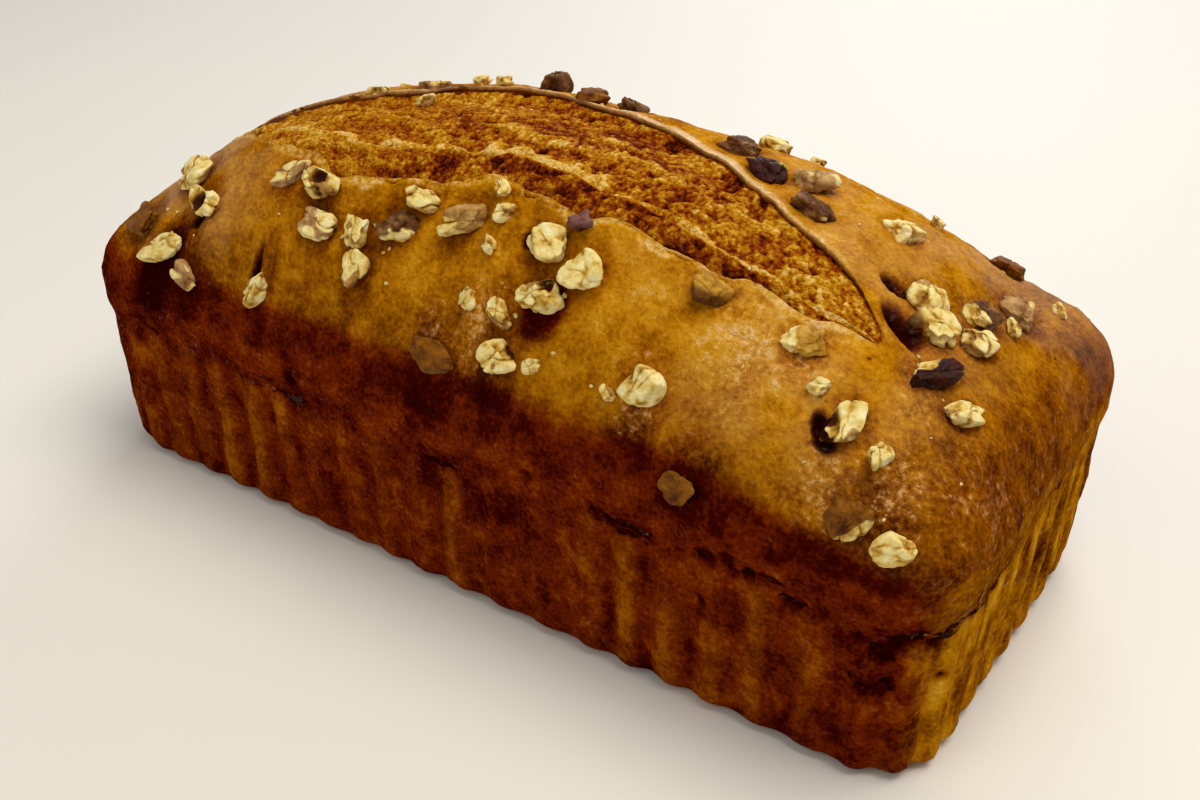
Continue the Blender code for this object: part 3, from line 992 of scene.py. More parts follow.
        # Wall and top in their own tones, blended at the edge between them
        ridge_light = below * rise(patch, -0.35, 0.5)
        wall_tone = 0.36 + ridge_light * (0.085 * pleat + 0.02) + 0.12 * streak * below
        wall_tone += (0.16 - 0.07 * end_side) * blotch + 0.11 * end_side
        wall_tone += end_side * below * (0.22 * streak - 0.02 * pleat)
        wall_tone -= (0.08 - 0.04 * rise(x, 30, 30)) * bell((z - edge + 7) / 5)
        top_tone = 0.56 + 0.08 * slow + 0.11 * blotch * (1 - 0.6 * rise(x, 70, 20))
        top_tone += 0.17 * rise(x, 12, 60) * rise(z, 58, 16) * fall(x, 95, 30)
        top_tone -= (0.10 - 0.05 * far_corner) * rise(x, 97, 6) + 0.06 * rise(x, 78, 26)
        top_tone -= 0.10 * np.exp(-np.maximum(z - edge, 0) / 4)
        maroon_wall = 1.0 - ridge_light * (0.18 * pleat + 0.12) - 0.15 * streak * below - 0.9 * end_side
        maroon_top = 0.10 + 0.25 * rise(blotch, 0.1, 0.4) + 0.25 * rise(x, 96, 8)
        tone = wall_tone * (1 - up) + top_tone * up
        maroon = maroon_wall * (1 - up) + maroon_top * up

        # Damage, worn lips, and painted shade in the trench, round and below the nuts and in the holes that
        # steam has left
        torn_line, burnt, pits = self.damage(points, liner, blotch, patch, speck)
        torn_line, pits = torn_line * on_wall, pits * on_wall
        opened, ribbon, worn = self.torn_edges(x, y, blotch, on_top, share_in)
        # Painted shade on the crust where it sinks into the trench under the lips
        trench = 0.2 * (share_in <= SOUND) * opened
        # Painted shade: a dark ring on the crust round each nut
        rings = Hole.strongest([Hole.under(nut, self.shade_ring_grown) for nut in NUTS], x, y) * on_top
        # Painted shade inside the holes, which are also sunk in the relief
        holes = Hole.strongest([hole for hole in HOLES if hole.in_crust], x, y) * on_top
        # Painted shadow: a dark crescent in the crust just below some nuts, on their near side
        baked = [Hole.under(NUTS[number - 1], *self.crescent_shadow) for number in SHADOW_CRESCENTS]
        crescent_shadows = Hole.strongest(baked, x, y) * on_top
        tone += 0.15 * worn - trench - 0.14 * rings - 0.8 * holes
        tone -= 0.12 * torn_line + 0.22 * burnt + 0.3 * pits + 0.32 * crescent_shadows
        tone -= 0.08 * far_corner * fall(x, 104, 10) * on_top
        maroon += 0.2 * rings + holes + 0.9 * crescent_shadows + 2 * trench + burnt + pits - 0.2 * worn

        # Dry flecks and painted glints, then gloss and a painted sheen
        flecks = 0.15 + 0.85 * np.max([bell(np.hypot(x - a, y - b) / c) for a, b, c in FLECKED], axis=0)
        # Painted glisten: where the right of the near slope gets fine light specks
        painted_glisten = 0.42 * rise(x, 20, 35) * rise(-y, 12, 15) + 0.1 * rise(x, 70, 20)
        flecks = np.maximum(flecks, painted_glisten * smooth_step(0.6 + 1.5 * blotch))
        flecks = np.maximum(flecks * rise(z, edge - 3, 4), 0.9 * worn)
        flecks = np.maximum(flecks, 0.4 * torn_line * rise(speck, -0.02, 0.2))
        # The sheen mark sets gloss and also paints a pale reflection into the colour where light glances off
        # the left end, the far slope and the right end; along the far lip it carries the ribbon's own pale
        # dry colour
        sheen = np.maximum(1.25 * rise(-x, 45, 45), 0.5 * rise(y, 12, 14) * fall(x, 100, 8))
        sheen = np.maximum(sheen, 0.22 * rise(x, 35, 30) * fall(x, 100, 12) + 0.3 * far_corner)
        sheen *= rise(z, edge, 12) * smooth_step(0.7 + 1.6 * blotch)
        sheen *= (1 - np.maximum(holes, crescent_shadows)) * (1 - 0.6 * rings)
        return {
            "tone": tone,
            "maroon": np.clip(maroon, 0, 1),
            "flecks": np.clip(flecks, 0, 1),
            "sheen": np.maximum(sheen, (1.3 - 0.7 * rise(x, 40, 30)) * ribbon),
            "cracked": np.maximum(torn_line, 0.8 * burnt) * fall(z, edge - 6, 4),
            "pocked": np.clip(burnt + pits + 0.4 * torn_line, 0, 1),
            "torn": np.maximum(torn_line, burnt),
            "pits": pits,
            "holes": holes,
            "below": below,
            "wall": on_wall,
            "sound": np.where(scale < 1, share_in, 1.0),
        }

    def damage(
        self, points: Array, liner: Array, blotch: Array, patch: Array, speck: Array
    ) -> tuple[Array, Array, Array]:
        """Where the wall is damaged: bells round the liner's edge, the burnt near corner and the pits.

        Args:
            points: the grid.
            liner: height of the liner's edge.
            blotch: noise that moves the torn line up and down.
            patch: slow noise that interrupts it.
            speck: fine noise that breaks up burnt places.

        Returns:
            The torn line, the burnt corner and the pits, each from 0 to 1.
        """
        x, y, z = np.moveaxis(points, -1, 0)
        torn_line = bell((z - liner - 2 * blotch) / 2.2) * rise(patch, -0.1, 0.3)
        from_corner = [(place - mid) / size for place, (mid, size) in zip((x, y, z), self.burnt_corner)]
        corner = np.prod(bell(np.array(from_corner)), axis=0)
        pits = np.max([bell(((x - a) ** 2 + (z - b) ** 2) / r**2) for a, b, r in PITS], axis=0)
        return torn_line, corner * rise(speck, -0.05, 0.3), pits * (y < -30) * rise(speck, -0.5, 0.4)

    def torn_edges(
        self, x: Array, y: Array, blotch: Array, on_top: Array, share_in: Array
    ) -> tuple[Array, Array, Array]:
        """Where the crust is worn dry beside the split: a ribbon at the far lip, an edge at the near one.

        Args:
            x: places along the loaf.
            y: places across.
            blotch: noise that varies the ribbon's width.
            on_top: which rings lie on the top.
            share_in: 1 outside the trench, falling to 0 along its middle.

        Returns:
            How open the split is, the ribbon alone, and all that is worn.
        """
        near, far = self.form.split.lips(x)
        opened = self.form.split.opened(x) * on_top
        width = 3.1 - 1.9 * rise(x, 35, 35) + 1.4 * blotch
        ribbon = fall(np.maximum(y - far, 0), width, 1.2) * (y > (near + far) / 2)
        near_edge = 1.3 * fall(np.maximum(near - y, 0), 1.5 + 1.2 * blotch, 0.9) * (y < (near + far) / 2)
        sound = opened * (share_in > SOUND)
        return opened, sound * ribbon, sound * np.maximum(ribbon, near_edge)

    def relief(self, points: Array, marks: dict[str, Array]) -> Array:
        """Height of the crust's own relief: dents, pebbling, streaks left by the liner, and torn pits.

        Args:
            points: the grid of points.
            marks: the crust's marks by name.

        Returns:
            Heights along the normals.
        """
        dents = layered(points, 11.0, 2, 21)
        pebbles = layered(points, 2.6, 3, 23)
        streaks = layered(points * [1, 1, 0.2], 1.9, 2, 25)
        bubbles = smooth_step(1 - cell_walls(points, 3.4, 27)[0] / 0.55)
        creases = smooth_step(1 - np.abs(noise(points, 5.5, 29)) / 0.12)
        top = 0.42 * dents + 0.30 * pebbles - 0.25 * creases
        wall = 0.40 * dents + 0.28 * pebbles + 0.30 * streaks * marks["below"]
        wall -= marks["torn"] * (1.1 * bubbles - 0.5 * np.abs(pebbles))
        height = np.where(marks["wall"], wall, top) * marks["sound"] - 2.2 * marks["holes"] - marks["pits"]
        return height * smooth_step(points[..., 2] / 3)


@dataclass
class TornCrumb:
    """The coarse crumb that shows in the split, closed below by a plain underside hidden in the loaf."""

    form: LoafForm
    columns: int = 620
    rows: int = 122
    margin: float = 1.3
    under: float = 3.2
    under_rows: int = 9
    climb: float = 4.5
    climbed: float = 0.35

    def surface(self) -> Surface:
        """A grid between the lips and a little under them, with bubbles, torn ridges and pores as relief.

        Returns:
            The torn crumb with its mark.
        """
        form, split = self.form, self.form.split
        start, end = split.ends
        along = np.linspace(start + 1.0, end - 1.0, self.columns)
        x, share = np.meshgrid(along, np.linspace(0, 1, self.rows))
        near, far = split.lips(x)
        opened = split.opened(x)
        low, high = near - self.margin * opened, far + self.margin * opened
        y = low + (high - low) * share
        left_end = rise(-x, 22, 22) * smooth_step(1 - (y - near) / (2 * self.climb))
        climbing = np.maximum(smooth_step(1 - (far - y) / self.climb), left_end)
        floor = split.floor(x, y)
        floor = floor * (1 - climbing) + np.minimum(floor, self.climbed * opened) * climbing
        plain = form.smooth_top(x, y) - floor
        past = np.maximum(near - y, 0) + np.maximum(y - far, 0)
        across = (y - near) / np.maximum(far - near, 1e-6)
        relief, hollow = self.relief(x, y, across)
        beside_far = bell((far - y) / 0.7)
        closing = 1 - smooth_step(opened * 2.5)
        z = plain + relief * smooth_step(opened * 1.6) * (1 - 0.5 * beside_far)
        z -= 0.7 * past + 0.2 * beside_far * opened + closing
        calm = rise(-x, 8, 30)
        step_red = fall(across, 0.25, 0.05) * (1 - calm)
        # Painted shade: a dark line along the foot of the far lip; step_red makes the terrace by the near lip
        # redder
        hollow += 0.35 * beside_far + 0.22 * step_red - 0.09 * rise(x, 45, 25)
        hollow = np.clip(hollow * (1 - 0.35 * calm), 0, 1)
        top = np.stack([x, y, z], axis=-1)
        hidden = np.linspace(self.rows - 1, 0, self.under_rows).astype(int)
        bottom = np.stack([x, y, plain - self.under], axis=-1)[hidden]
        hollow = np.concatenate([hollow, np.zeros(bottom.shape[:2]), hollow[:1]])
        return self.capped(np.concatenate([top, bottom, top[:1]]), {"hollow": hollow})

    def capped(self, grid: Array, marks: dict[str, Array]) -> Surface:
        """Closes the tube's two ends, by drawing each end's loop in to one point.

        Args:
            grid: the tube's points.
            marks: its marks by name.

        Returns:
            The closed surface.
        """
        first = grid[:, :1].mean(axis=0, keepdims=True).repeat(len(grid), axis=0)
        last = grid[:, -1:].mean(axis=0, keepdims=True).repeat(len(grid), axis=0)
        grid = np.concatenate([first, grid, last], axis=1)
        marks = {name: np.concatenate([m[:, :1], m, m[:, -1:]], axis=1) for name, m in marks.items()}
        return Surface.grid(grid, False, marks)

    def relief(self, x: Array, y: Array, share: Array) -> tuple[Array, Array]:
        """The crumb's relief and how hollow each place is.

        Bubbles are the distances to random points, ridges are a wave across the split whose lines wander, and
        the rest is layered noise.

        Args:
            x: places along the loaf.
            y: places across.
            share: shares of the way from the near to the far lip.

        Returns:
            Height of the relief in millimetres, and hollowness from 0 to 1.
        """
        flat = np.stack([x, y], axis=-1)
        bend = np.stack([noise(flat, 7.0, 41), noise(flat, 7.0, 43)], axis=-1)
        stretch = 0.5 - 0.22 * rise(-x, 20, 30)
        torn = flat * np.stack([stretch, np.ones_like(x)], axis=-1) + 1.2 * bend
        grains, gap = cell_walls(torn, 1.7, 45)
        fine, _ = cell_walls(flat * [0.8, 1] + 0.4 * bend, 0.95, 47)
        rough = layered(torn, 3.4, 3, 49)
        grit = layered(flat, 1.0, 2, 57)
        slow = layered(flat, 13.0, 2, 51)
        phase = (y / 7.2 + 0.35 * bend[..., 0] + 0.5 * slow) % 1
        ridges = smooth_step(phase / 0.65) * fall(phase, 1, 0.35)
        strength = np.clip(1.2 - 1.3 * share, 0.1, 1)
        crevices = smooth_step(1 - gap / 0.2) * smooth_step(noise(flat, 4.0, 53) * 1.5 + 0.3)
        pores = rise(noise(torn, 1.7, 55), 0.42, 0.2)
        crest = bell((share - 0.27 - 0.04 * bend[..., 1]) / 0.035)
        coarse = 0.45 * strength * (ridges - 0.5) + 0.55 * rough - 0.3 * crevices - 0.5 * pores + 0.8 * crest
        small = 0.2 * (0.6 - grains) + 0.5 * grit + 0.42 * (0.5 - fine)
        # Painted shade and highlight: low places and pores dark, high places and the crest light
        hollow = np.clip(0.42 - 0.56 * (coarse + small), 0, 1)
        return coarse + 0.5 * small + 0.4 * slow, hollow


@dataclass
class WalnutPieces:
    """The walnut pieces and chips: broken lumps with dents, notches and wrinkled skin."""

    form: LoafForm
    nut_grid: tuple[int, int] = (52, 68)
    chip_grid: tuple[int, int] = (24, 30)
    dust_grid: tuple[int, int] = (6, 8)
    planes: int = 8
    reach: tuple[float, float] = (0.72, 1.0)
    greatest: float = 1.33
    crispness: int = 30
    top_tilt: float = 0.3
    top_reach: float = 0.62
    dent_depth: float = 0.28
    dent_spread: float = 0.03
    fold_depth: float = 0.17
    fold_spread: float = 0.006
    bites: int = 3
    bite_depth: float = 0.34
    bite_spread: float = 0.0045
    wrinkle_depth: float = 0.07
    flat_lobes: float = 0.25  # how lobed a flat-faced piece is, where others have 0.5 to 1
    sink: float = 0.28
    chip_shape: tuple[float, float, float] = (1, 0.75, 0.62)
    chip_turn: float = 47.0
    chip_seed: int = 500
    dust_shape: tuple[float, float, float] = (1, 0.8, 0.5)
    dust_sizes: tuple[float, float] = (0.5, 1.3)
    dust_seed: int = 900
    dust_kinds: int = 23
    dust_limit: tuple[float, float] = (100.0, 45.0)
    coat_shade: float = -105.0  # direction of the painted shade on a coated nut's low side, in degrees

    def directions(self, rows: int, columns: int) -> Array:
        """A grid of directions over the ball, from pole to pole.

        Args:
            rows: how many from pole to pole.
            columns: how many round.

        Returns:
            Unit vectors.
        """
        polar = np.linspace(0, np.pi, rows)[:, None]
        around = np.linspace(0, 2 * np.pi, columns, endpoint=False)[None, :]
        level = np.cos(polar) * np.ones_like(around)
        return np.stack([np.sin(polar) * np.cos(around), np.sin(polar) * np.sin(around), level], axis=-1)

    def skin(self, ways: Array, side: Array, seed: int, kind: NutKind) -> Array:
        """Where skin is left: on one side of a pale piece, on most of the others, on no flat-faced one.

        Args:
            ways: the lump's directions.
            side: the direction of its skin side.
            seed: the lump's own seed.
            kind: what shows of it.

        Returns:
            0 on bare meat and 1 on skin.
        """
        skin = rise(ways @ (side * [1, 1, 0.4]) + 0.6 * noise(ways, 0.5, seed + 73), 0.55, 0.12)
        if kind is not NutKind.PALE:
            bare = {NutKind.TAN: -0.35, NutKind.BROWN: -1.3, NutKind.DARK: -1.0}[kind]
            skin = np.maximum(skin, rise(noise(ways, 0.6, seed + 79), bare, 0.25))
        if seed in BARE_EDGES:
            angle = np.radians(BARE_EDGES[seed])
            rim = ways @ np.array([np.cos(angle), np.sin(angle), 0]) + 0.25 * noise(ways, 0.5, seed + 91)
            skin = np.maximum(skin, 0.9) * fall(rim, 0.62, 0.1)
        return skin * (seed not in FLAT_FACED)

    def lump(self, grid: tuple[int, int], seed: int, kind: NutKind) -> tuple[Array, dict[str, Array]]:
        """A broken lump: the rounded inside of random planes, dented, folded, bitten and wrinkled.

        Args:
            grid: how many rows and columns.
            seed: the lump's own seed.
            kind: what shows of it.

        Returns:
            The grid of points, centred, with each side 1 long, and its marks: skin, and cavity and dips,
            which paint shade in folds and dents.
        """
        ways = self.directions(*grid)
        draw = np.random.RandomState(seed)
        planes = draw.normal(size=(self.planes, 3))
        planes /= np.linalg.norm(planes, axis=1)[:, None]
        reach = draw.uniform(*self.reach, self.planes)
        upper = planes[6] * self.top_tilt + [0, 0, 1]
        cuts = np.vstack([planes, upper / np.linalg.norm(upper)])
        facing = np.maximum(ways @ cuts.T, 0) / np.append(reach, self.top_reach)
        bound = (facing**self.crispness).sum(axis=-1) + self.greatest**-self.crispness
        dent = planes[0] + planes[1]
        hollow = np.exp(-((1 - ways @ (dent / np.linalg.norm(dent))) ** 2) / self.dent_spread)
        folds = np.zeros(grid)
        for number in (4, 5):
            bent = ways @ (planes[number] * [1, 1, 0.5]) + 0.32 * noise(ways, 0.8, seed + 53 + number)
            folds = np.maximum(folds, np.exp(-(bent**2) / self.fold_spread))
        lobed = self.flat_lobes if seed in FLAT_FACED else draw.uniform(0.5, 1)
        bites = np.zeros(grid)
        for angle in draw.uniform(0, 2 * np.pi, self.bites):
            bite = np.array([np.cos(angle), np.sin(angle), 0.25]) / np.hypot(1, 0.25)
            away = 1 - ways @ bite + 0.05 * noise(ways, 0.4, seed + 97)
            bites = np.maximum(bites, np.exp(-(away**2) / self.bite_spread))
        swell = lobed * (0.11 * noise(ways, 0.75, seed + 61) + 0.08 * noise(ways, 0.36, seed + 67))
        swell += 0.07 * layered(ways, 0.22, 3, seed + 71)
        skin = self.skin(ways, planes[3], seed, kind)
        wrinkles = self.wrinkle_depth * smooth_step(1 - np.abs(noise(ways, 0.3, seed + 83)) / 0.2) * skin
        radius = bound ** (-1 / self.crispness) * (1 - self.dent_depth * hollow)
        radius *= (1 - self.fold_depth * lobed * folds) * (1 - self.bite_depth * lobed**0.5 * bites)
        shape = ways * (radius + swell - wrinkles)[..., None]
        low, high = shape.min(axis=(0, 1)), shape.max(axis=(0, 1))
        # Painted shade: cavity darkens the folds, and dips turn the dents and low places golden
        cavity = 0.45 * lobed * folds * smooth_step(noise(ways, 0.6, seed + 89) + 0.5)
        dips = np.clip(0.9 * hollow + bites + 0.7 * folds - 5 * swell, 0, 1)
        marks = {"skin": skin, "cavity": cavity, "dips": dips}
        return (shape - (low + high) / 2) / (high - low), marks

    def placed(
        self, lump: Array, marks: dict[str, Array], size: Array, along: float, across: float, turn: float
    ) -> Surface:
        """Scales a lump, turns it and sets it into the crust.

        Args:
            lump: the grid of points.
            marks: its marks.
            size: its length, width and height.
            along: its place along the loaf.
            across: its place across.
            turn: its turn on the crust in degrees.

        Returns:
            The surface in its place.
        """
        point, upright = self.form.seat_frame(along, across)
        angle = np.radians(turn)
        spin = np.array([[np.cos(angle), -np.sin(angle), 0], [np.sin(angle), np.cos(angle), 0], [0, 0, 1]])
        raised = point + upright[:, 2] * size[2] * (0.5 - self.sink)
        points = raised + (lump * size) @ (upright @ spin).T
        shares = np.stack([hole.share(points[..., 0], points[..., 1]) for hole in HOLES])
        depths = np.array([hole.depth for hole in HOLES])[:, None, None]
        outer = lump[..., 2:] > 0
        points = points - upright[:, 2] * (shares * depths).max(axis=0)[..., None] * outer
        # Painted shade where a hole sinks into the nut
        marks = marks | {"cavity": np.maximum(marks["cavity"], shares.max(axis=0) ** 0.7)}
        return Surface.grid(points, True, marks)

    def nut(self, number: int, nut: Nut) -> Surface:
        """One walnut piece at its place, with painted shade on its low side where the table says so.

        Args:
            number: its number in the table, from 1.
            nut: its row there.

        Returns:
            The piece's surface.
        """
        size = np.array([nut.length, nut.width, nut.height / (1 - self.sink)])
        kind = NutKind.BROWN if number in COATED + SHADED_BELOW else nut.kind
        lump, marks = self.lump(self.nut_grid, number, kind)
        # Painted shade on the nut's low side, mixed in through the cavity mark
        if number in SHADED_BELOW:
            below = np.radians(self.coat_shade - nut.turn)
            low_side = lump @ np.array([np.cos(below), np.sin(below), -0.4])
            marks["cavity"] = np.maximum(marks["cavity"], 0.85 * rise(low_side, -0.12, 0.3))
        return self.placed(lump, marks, size, nut.along, nut.across, nut.turn)

    def chips(self, numbers: list[int]) -> Surface:
        """Some of the fused chips as one surface, by their places in the list.

        Args:
            numbers: their numbers there, from 1.

        Returns:
            The one surface.
        """
        parts = []
        for number in numbers:
            along, across, size = CHIPS[number - 1]
            extent = size * np.array(self.chip_shape)
            lump, marks = self.lump(self.chip_grid, self.chip_seed + number, NutKind.PALE)
            parts.append(self.placed(lump, marks, extent, along, across, self.chip_turn * number))
        return Surface.joined(parts)

    def dust(self, count: int, seed: int) -> Surface:
        """Nut crumbs of a millimetre or so, strewn round the larger pieces.

        Args:
            count: how many crumbs.
            seed: where they fall.

        Returns:
            All of them as one surface.
        """
        draw = np.random.RandomState(seed)
        limit = np.array(self.dust_limit)
        parts = []
        for number in range(count):
            home = NUTS[draw.randint(len(NUTS))]
            away = draw.normal(size=2) * (1.5 + home.length / 2)
            along, across = np.clip(away + [home.along, home.across], -limit, limit)
            size = draw.uniform(*self.dust_sizes) * np.array(self.dust_shape)
            lump, marks = self.lump(self.dust_grid, self.dust_seed + number % self.dust_kinds, NutKind.PALE)
            parts.append(self.placed(lump, marks, size, along, across, draw.uniform(0, 360)))
        return Surface.joined(parts)


def new_material(name: str) -> tuple[Material, NodeTree, Node]:
    """An empty node material with its Principled shader.

    Args:
        name: the material's name.

    Returns:
        The material, its node tree and the shader's node.
    """
    made = bpy.data.materials.new(name)
    made.use_nodes = True
    return made, made.node_tree, made.node_tree.nodes["Principled BSDF"]


def per_metre(size: float) -> float:
    """A texture node's scale for features of a size in millimetres."""
    return 1 / (size * MM)


@dataclass(frozen=True)
class CrustFinish:
    """Browned cake crust: sugars caramelised in the oven, some oil on top, darkest where it met the liner."""

    golden: tuple[tuple[float, str], ...] = (
        (0.0, "#2A0A00"),
        (0.22, "#5E2B01"),
        (0.42, "#955803"),
        (0.60, "#C07E08"),
        (0.78, "#D6991C"),
        (1.0, "#EBC078"),
    )
    maroon: tuple[tuple[float, str], ...] = (
        (0.0, "#2A0200"),
        (0.2, "#450901"),
        (0.42, "#782702"),
        (0.62, "#9C4F06"),
        (1.0, "#CC8A3C"),
    )
    pale: str = "#E6C48C"
    # colour of the painted reflection where the sheen mark is high
    sheen_reflection: str = "#D2C2A2"
    noises: tuple[tuple[float, float, float], ...] = (
        (11.0, 2.0, 0.5),
        (3.6, 2.0, 0.5),
        (0.9, 3.0, 0.7),
        (1.3, 3.0, 0.7),
        (2.4, 1.0, 0.5),
    )  # size in millimetres, detail and roughness of patches, mottling, pebbling, flecks and pocks
    roughness: float = 0.62
    oily_roughness: float = 0.37
    gloss: float = 0.35
    glint: str = "#FFCB92"

    def material(self) -> Material:
        """Colour from the browning and painted-shade marks broken up by mottling, with pebbled bump, oily
        spots, painted glints, and a painted pale reflection where the sheen mark is high.

        Returns:
            The material.
        """
        made, tree, shader = new_material("browned_crust")
        node = partial(add_node, tree)
        place = node("TexCoord")
        tone, maroon, flecked, sheen, cracked, pocked = (
            node("Attribute", attribute_name=mark) for mark in CRUST_MARKS
        )
        patch, mottle, pebble, spots, pocks = (
            node("TexNoise", {0: place, "Scale": per_metre(size), "Detail": detail, "Roughness": rough})
            for size, detail, rough in self.noises
        )
        level = node("Mapping", {"Vector": place, "Scale": (0.35, 0.35, 1.0)})
        cracks = node("TexNoise", {0: level, "Scale": per_metre(1.6), "Detail": 3.0, "Roughness": 0.65})
        deep = node("Math", (cracked, 0.3, cracks), operation="MULTIPLY_ADD")
        crack = node("MapRange", (deep, 0.74, 0.82, 0.0, 0.3))
        sunk = node("Math", (pocked, 0.34, pocks), operation="MULTIPLY_ADD")
        pit = node("MapRange", (sunk, 0.84, 0.88, 0.0, 0.3))
        marred = node("Math", (pit, crack), operation="MAXIMUM")
        # Painted glisten: fine light specks where the flecks mark is high
        grit = node("Math", (spots, 0.49), operation="SUBTRACT")
        painted_glisten = node("Math", (flecked, grit), operation="MULTIPLY")
        toned = node("Math", (tone, 0.75), operation="SUBTRACT")
        for pattern, weight in ((patch, 0.5), (mottle, 0.46), (pebble, 0.52), (painted_glisten, 0.9), (marred, -1.0)):
            toned = node("Math", (pattern, weight, toned), operation="MULTIPLY_ADD")
        golden, reddish = (node("ValToRGB", (toned,), stops) for stops in (self.golden, self.maroon))
        browned = node("Mix", {0: maroon, MIX_A: golden, MIX_B: reddish}, data_type="RGBA")
        spread = node("Math", (flecked, 0.24, spots), operation="MULTIPLY_ADD")
        patchy = node("Math", (mottle, 0.35, spread), operation="MULTIPLY_ADD")
        # Pale colour for dry flecks and painted glints
        dry = node("MapRange", (patchy, 0.92, 1.07, 0.0, 0.5))
        flecky = node("Mix", {0: dry, MIX_A: browned, MIX_B: linear(self.pale)}, data_type="RGBA")
        # Painted reflection: the sheen mark mixes a pale sheen colour into the base colour
        painted_reflection = node("Math", (sheen, 0.2), operation="MULTIPLY")
        colour = node("Mix", {0: painted_reflection, MIX_A: flecky, MIX_B: linear(self.sheen_reflection)}, data_type="RGBA")
        oily = node("MapRange", (spread, 0.6, 0.85, 0.0, self.gloss))
        satin = node("Math", (sheen, 0.45, oily), operation="MULTIPLY_ADD")
        rough = node("MapRange", (spread, 0.56, 0.8, self.roughness, self.oily_roughness))
        high = node("Bump", {"Height": pebble, "Strength": 1.0, "Distance": 0.45 * MM})
        fine = node("Bump", {"Height": spots, "Strength": 0.6, "Distance": 0.5 * MM, "Normal": high})
        torn = node("Bump", {"Height": marred, "Distance": 1.6 * MM, "Normal": fine}, invert=True)
        look = {"Base Color": colour, "Roughness": rough, "Specular IOR Level": satin, "Normal": torn}
        fill(tree, shader, look | {"Specular Tint": linear(self.glint)})
        return made


@dataclass(frozen=True)
class CrumbFinish:
    """Moist torn crumb: coarse and golden, with painted highlight on its high places and painted shade in its
    pores.
    """

    stops: tuple[tuple[float, str], ...] = (
        (0.0, "#E9C276"),
        (0.12, "#D8A438"),
        (0.27, "#C28812"),
        (0.43, "#AC660A"),
        (0.62, "#8A3A04"),
        (0.82, "#621D04"),
        (1.0, "#300A01"),
    )
    roughness: float = 0.6
    sheen_level: float = 0.02

    def material(self) -> Material:
        """Colour from how hollow each place is, which paints shade in low places and highlight on high ones,
        broken up by fine noise, with a crumbly bump.

        Returns:
            The material.
        """
        made, tree, shader = new_material("torn_crumb")
        node = partial(add_node, tree)
        place = node("TexCoord")
        hollow = node("Attribute", attribute_name="hollow")
        mottle = node("TexNoise", {0: place, "Scale": per_metre(3.2), "Detail": 4.0, "Roughness": 0.65})
        crumbs = node("TexNoise", {0: place, "Scale": per_metre(0.75), "Detail": 2.0, "Roughness": 0.6})
        toned = node("Math", (hollow, 0.845), operation="SUBTRACT")
        for pattern, weight in ((mottle, 0.7), (crumbs, 1.15)):
            toned = node("Math", (pattern, weight, toned), operation="MULTIPLY_ADD")
        colour = node("ValToRGB", (toned,), self.stops)
        bump = node("Bump", {"Height": crumbs, "Strength": 1.0, "Distance": 0.8 * MM})
        look = {"Base Color": colour, "Normal": bump, "Roughness": self.roughness}
        fill(tree, shader, look | {"Specular IOR Level": self.sheen_level})
        return made


@dataclass(frozen=True)
class WalnutFinish:
    """Toasted walnut: creamy broken meat, under a thin wrinkled skin where that is left."""

    name: str
    skin: tuple[tuple[float, str], ...]
    # colour of the painted shade in the cavities
    hollow: str
    roughness: float = 0.5
    sheen_level: float = 0.1
    meat: tuple[tuple[float, str], ...] = (
        (0.02, "#5C2204"),
        (0.22, "#A87620"),
        (0.34, "#D2A748"),
        (0.46, "#EED582"),
        (0.6, "#F8E8A8"),
        (0.75, "#FCF2CC"),
    )

    def material(self) -> Material:
        """Meat and skin mixed by the skin mark, with painted shade: golden in the dips and darkened in the
        cavities.

        Returns:
            The material.
        """
        made, tree, shader = new_material(self.name)
        node = partial(add_node, tree)
        place = node("TexCoord")
        skin_mark, cavity, dips = (
            node("Attribute", attribute_name=mark) for mark in ("skin", "cavity", "dips")
        )
        mottle = node("TexNoise", {0: place, "Scale": per_metre(2.4), "Detail": 5.0, "Roughness": 0.6})
        grain = node("TexNoise", {0: place, "Scale": per_metre(0.9), "Detail": 3.0, "Roughness": 0.6})
        sunk = node("Math", (dips, -0.2, mottle), operation="MULTIPLY_ADD")
        deep = node("Math", (cavity, -0.6, sunk), operation="MULTIPLY_ADD")
        meat = node("ValToRGB", (deep,), self.meat)
        skin = node("ValToRGB", (mottle,), self.skin)
        covered = node("Mix", {0: skin_mark, MIX_A: meat, MIX_B: skin}, data_type="RGBA")
        shaded = node("Mix", {0: cavity, MIX_A: covered, MIX_B: linear(self.hollow)}, data_type="RGBA")
        bump = node("Bump", {"Height": grain, "Strength": 0.6, "Distance": 0.5 * MM})
        look = {"Base Color": shaded, "Normal": bump, "Roughness": self.roughness}
        fill(tree, shader, look | {"Specular IOR Level": self.sheen_level})
        return made


WALNUT_FINISHES = {
    # broken meat, creamy and dry, with scraps of thin golden skin
    NutKind.PALE: WalnutFinish("walnut_meat_pale", ((0.3, "#7A4410"), (0.7, "#C89A50")), "#3A1406"),
    # light skin that the oven has hardly touched, matt and warm
    NutKind.TAN: WalnutFinish("walnut_skin_tan", ((0.3, "#7A4A22"), (0.7, "#D0A468")), "#4A2008"),
    # a nut under a film of crust, so it has the crust's own brown
    NutKind.BROWN: WalnutFinish("walnut_under_crust", ((0.3, "#4A2004"), (0.7, "#9C600A")), "#2A0A02"),
    # skin toasted nearly black, a little smoother than the others
    NutKind.DARK: WalnutFinish("walnut_skin_dark", ((0.3, "#190503"), (0.7, "#4E2216")), "#0A0202", 0.4),
}
# Batter that rose over a nut and baked golden
BATTER_COAT = WalnutFinish("walnut_batter_coat", ((0.3, "#9A6410"), (0.7, "#DDA93C")), "#4A1404")
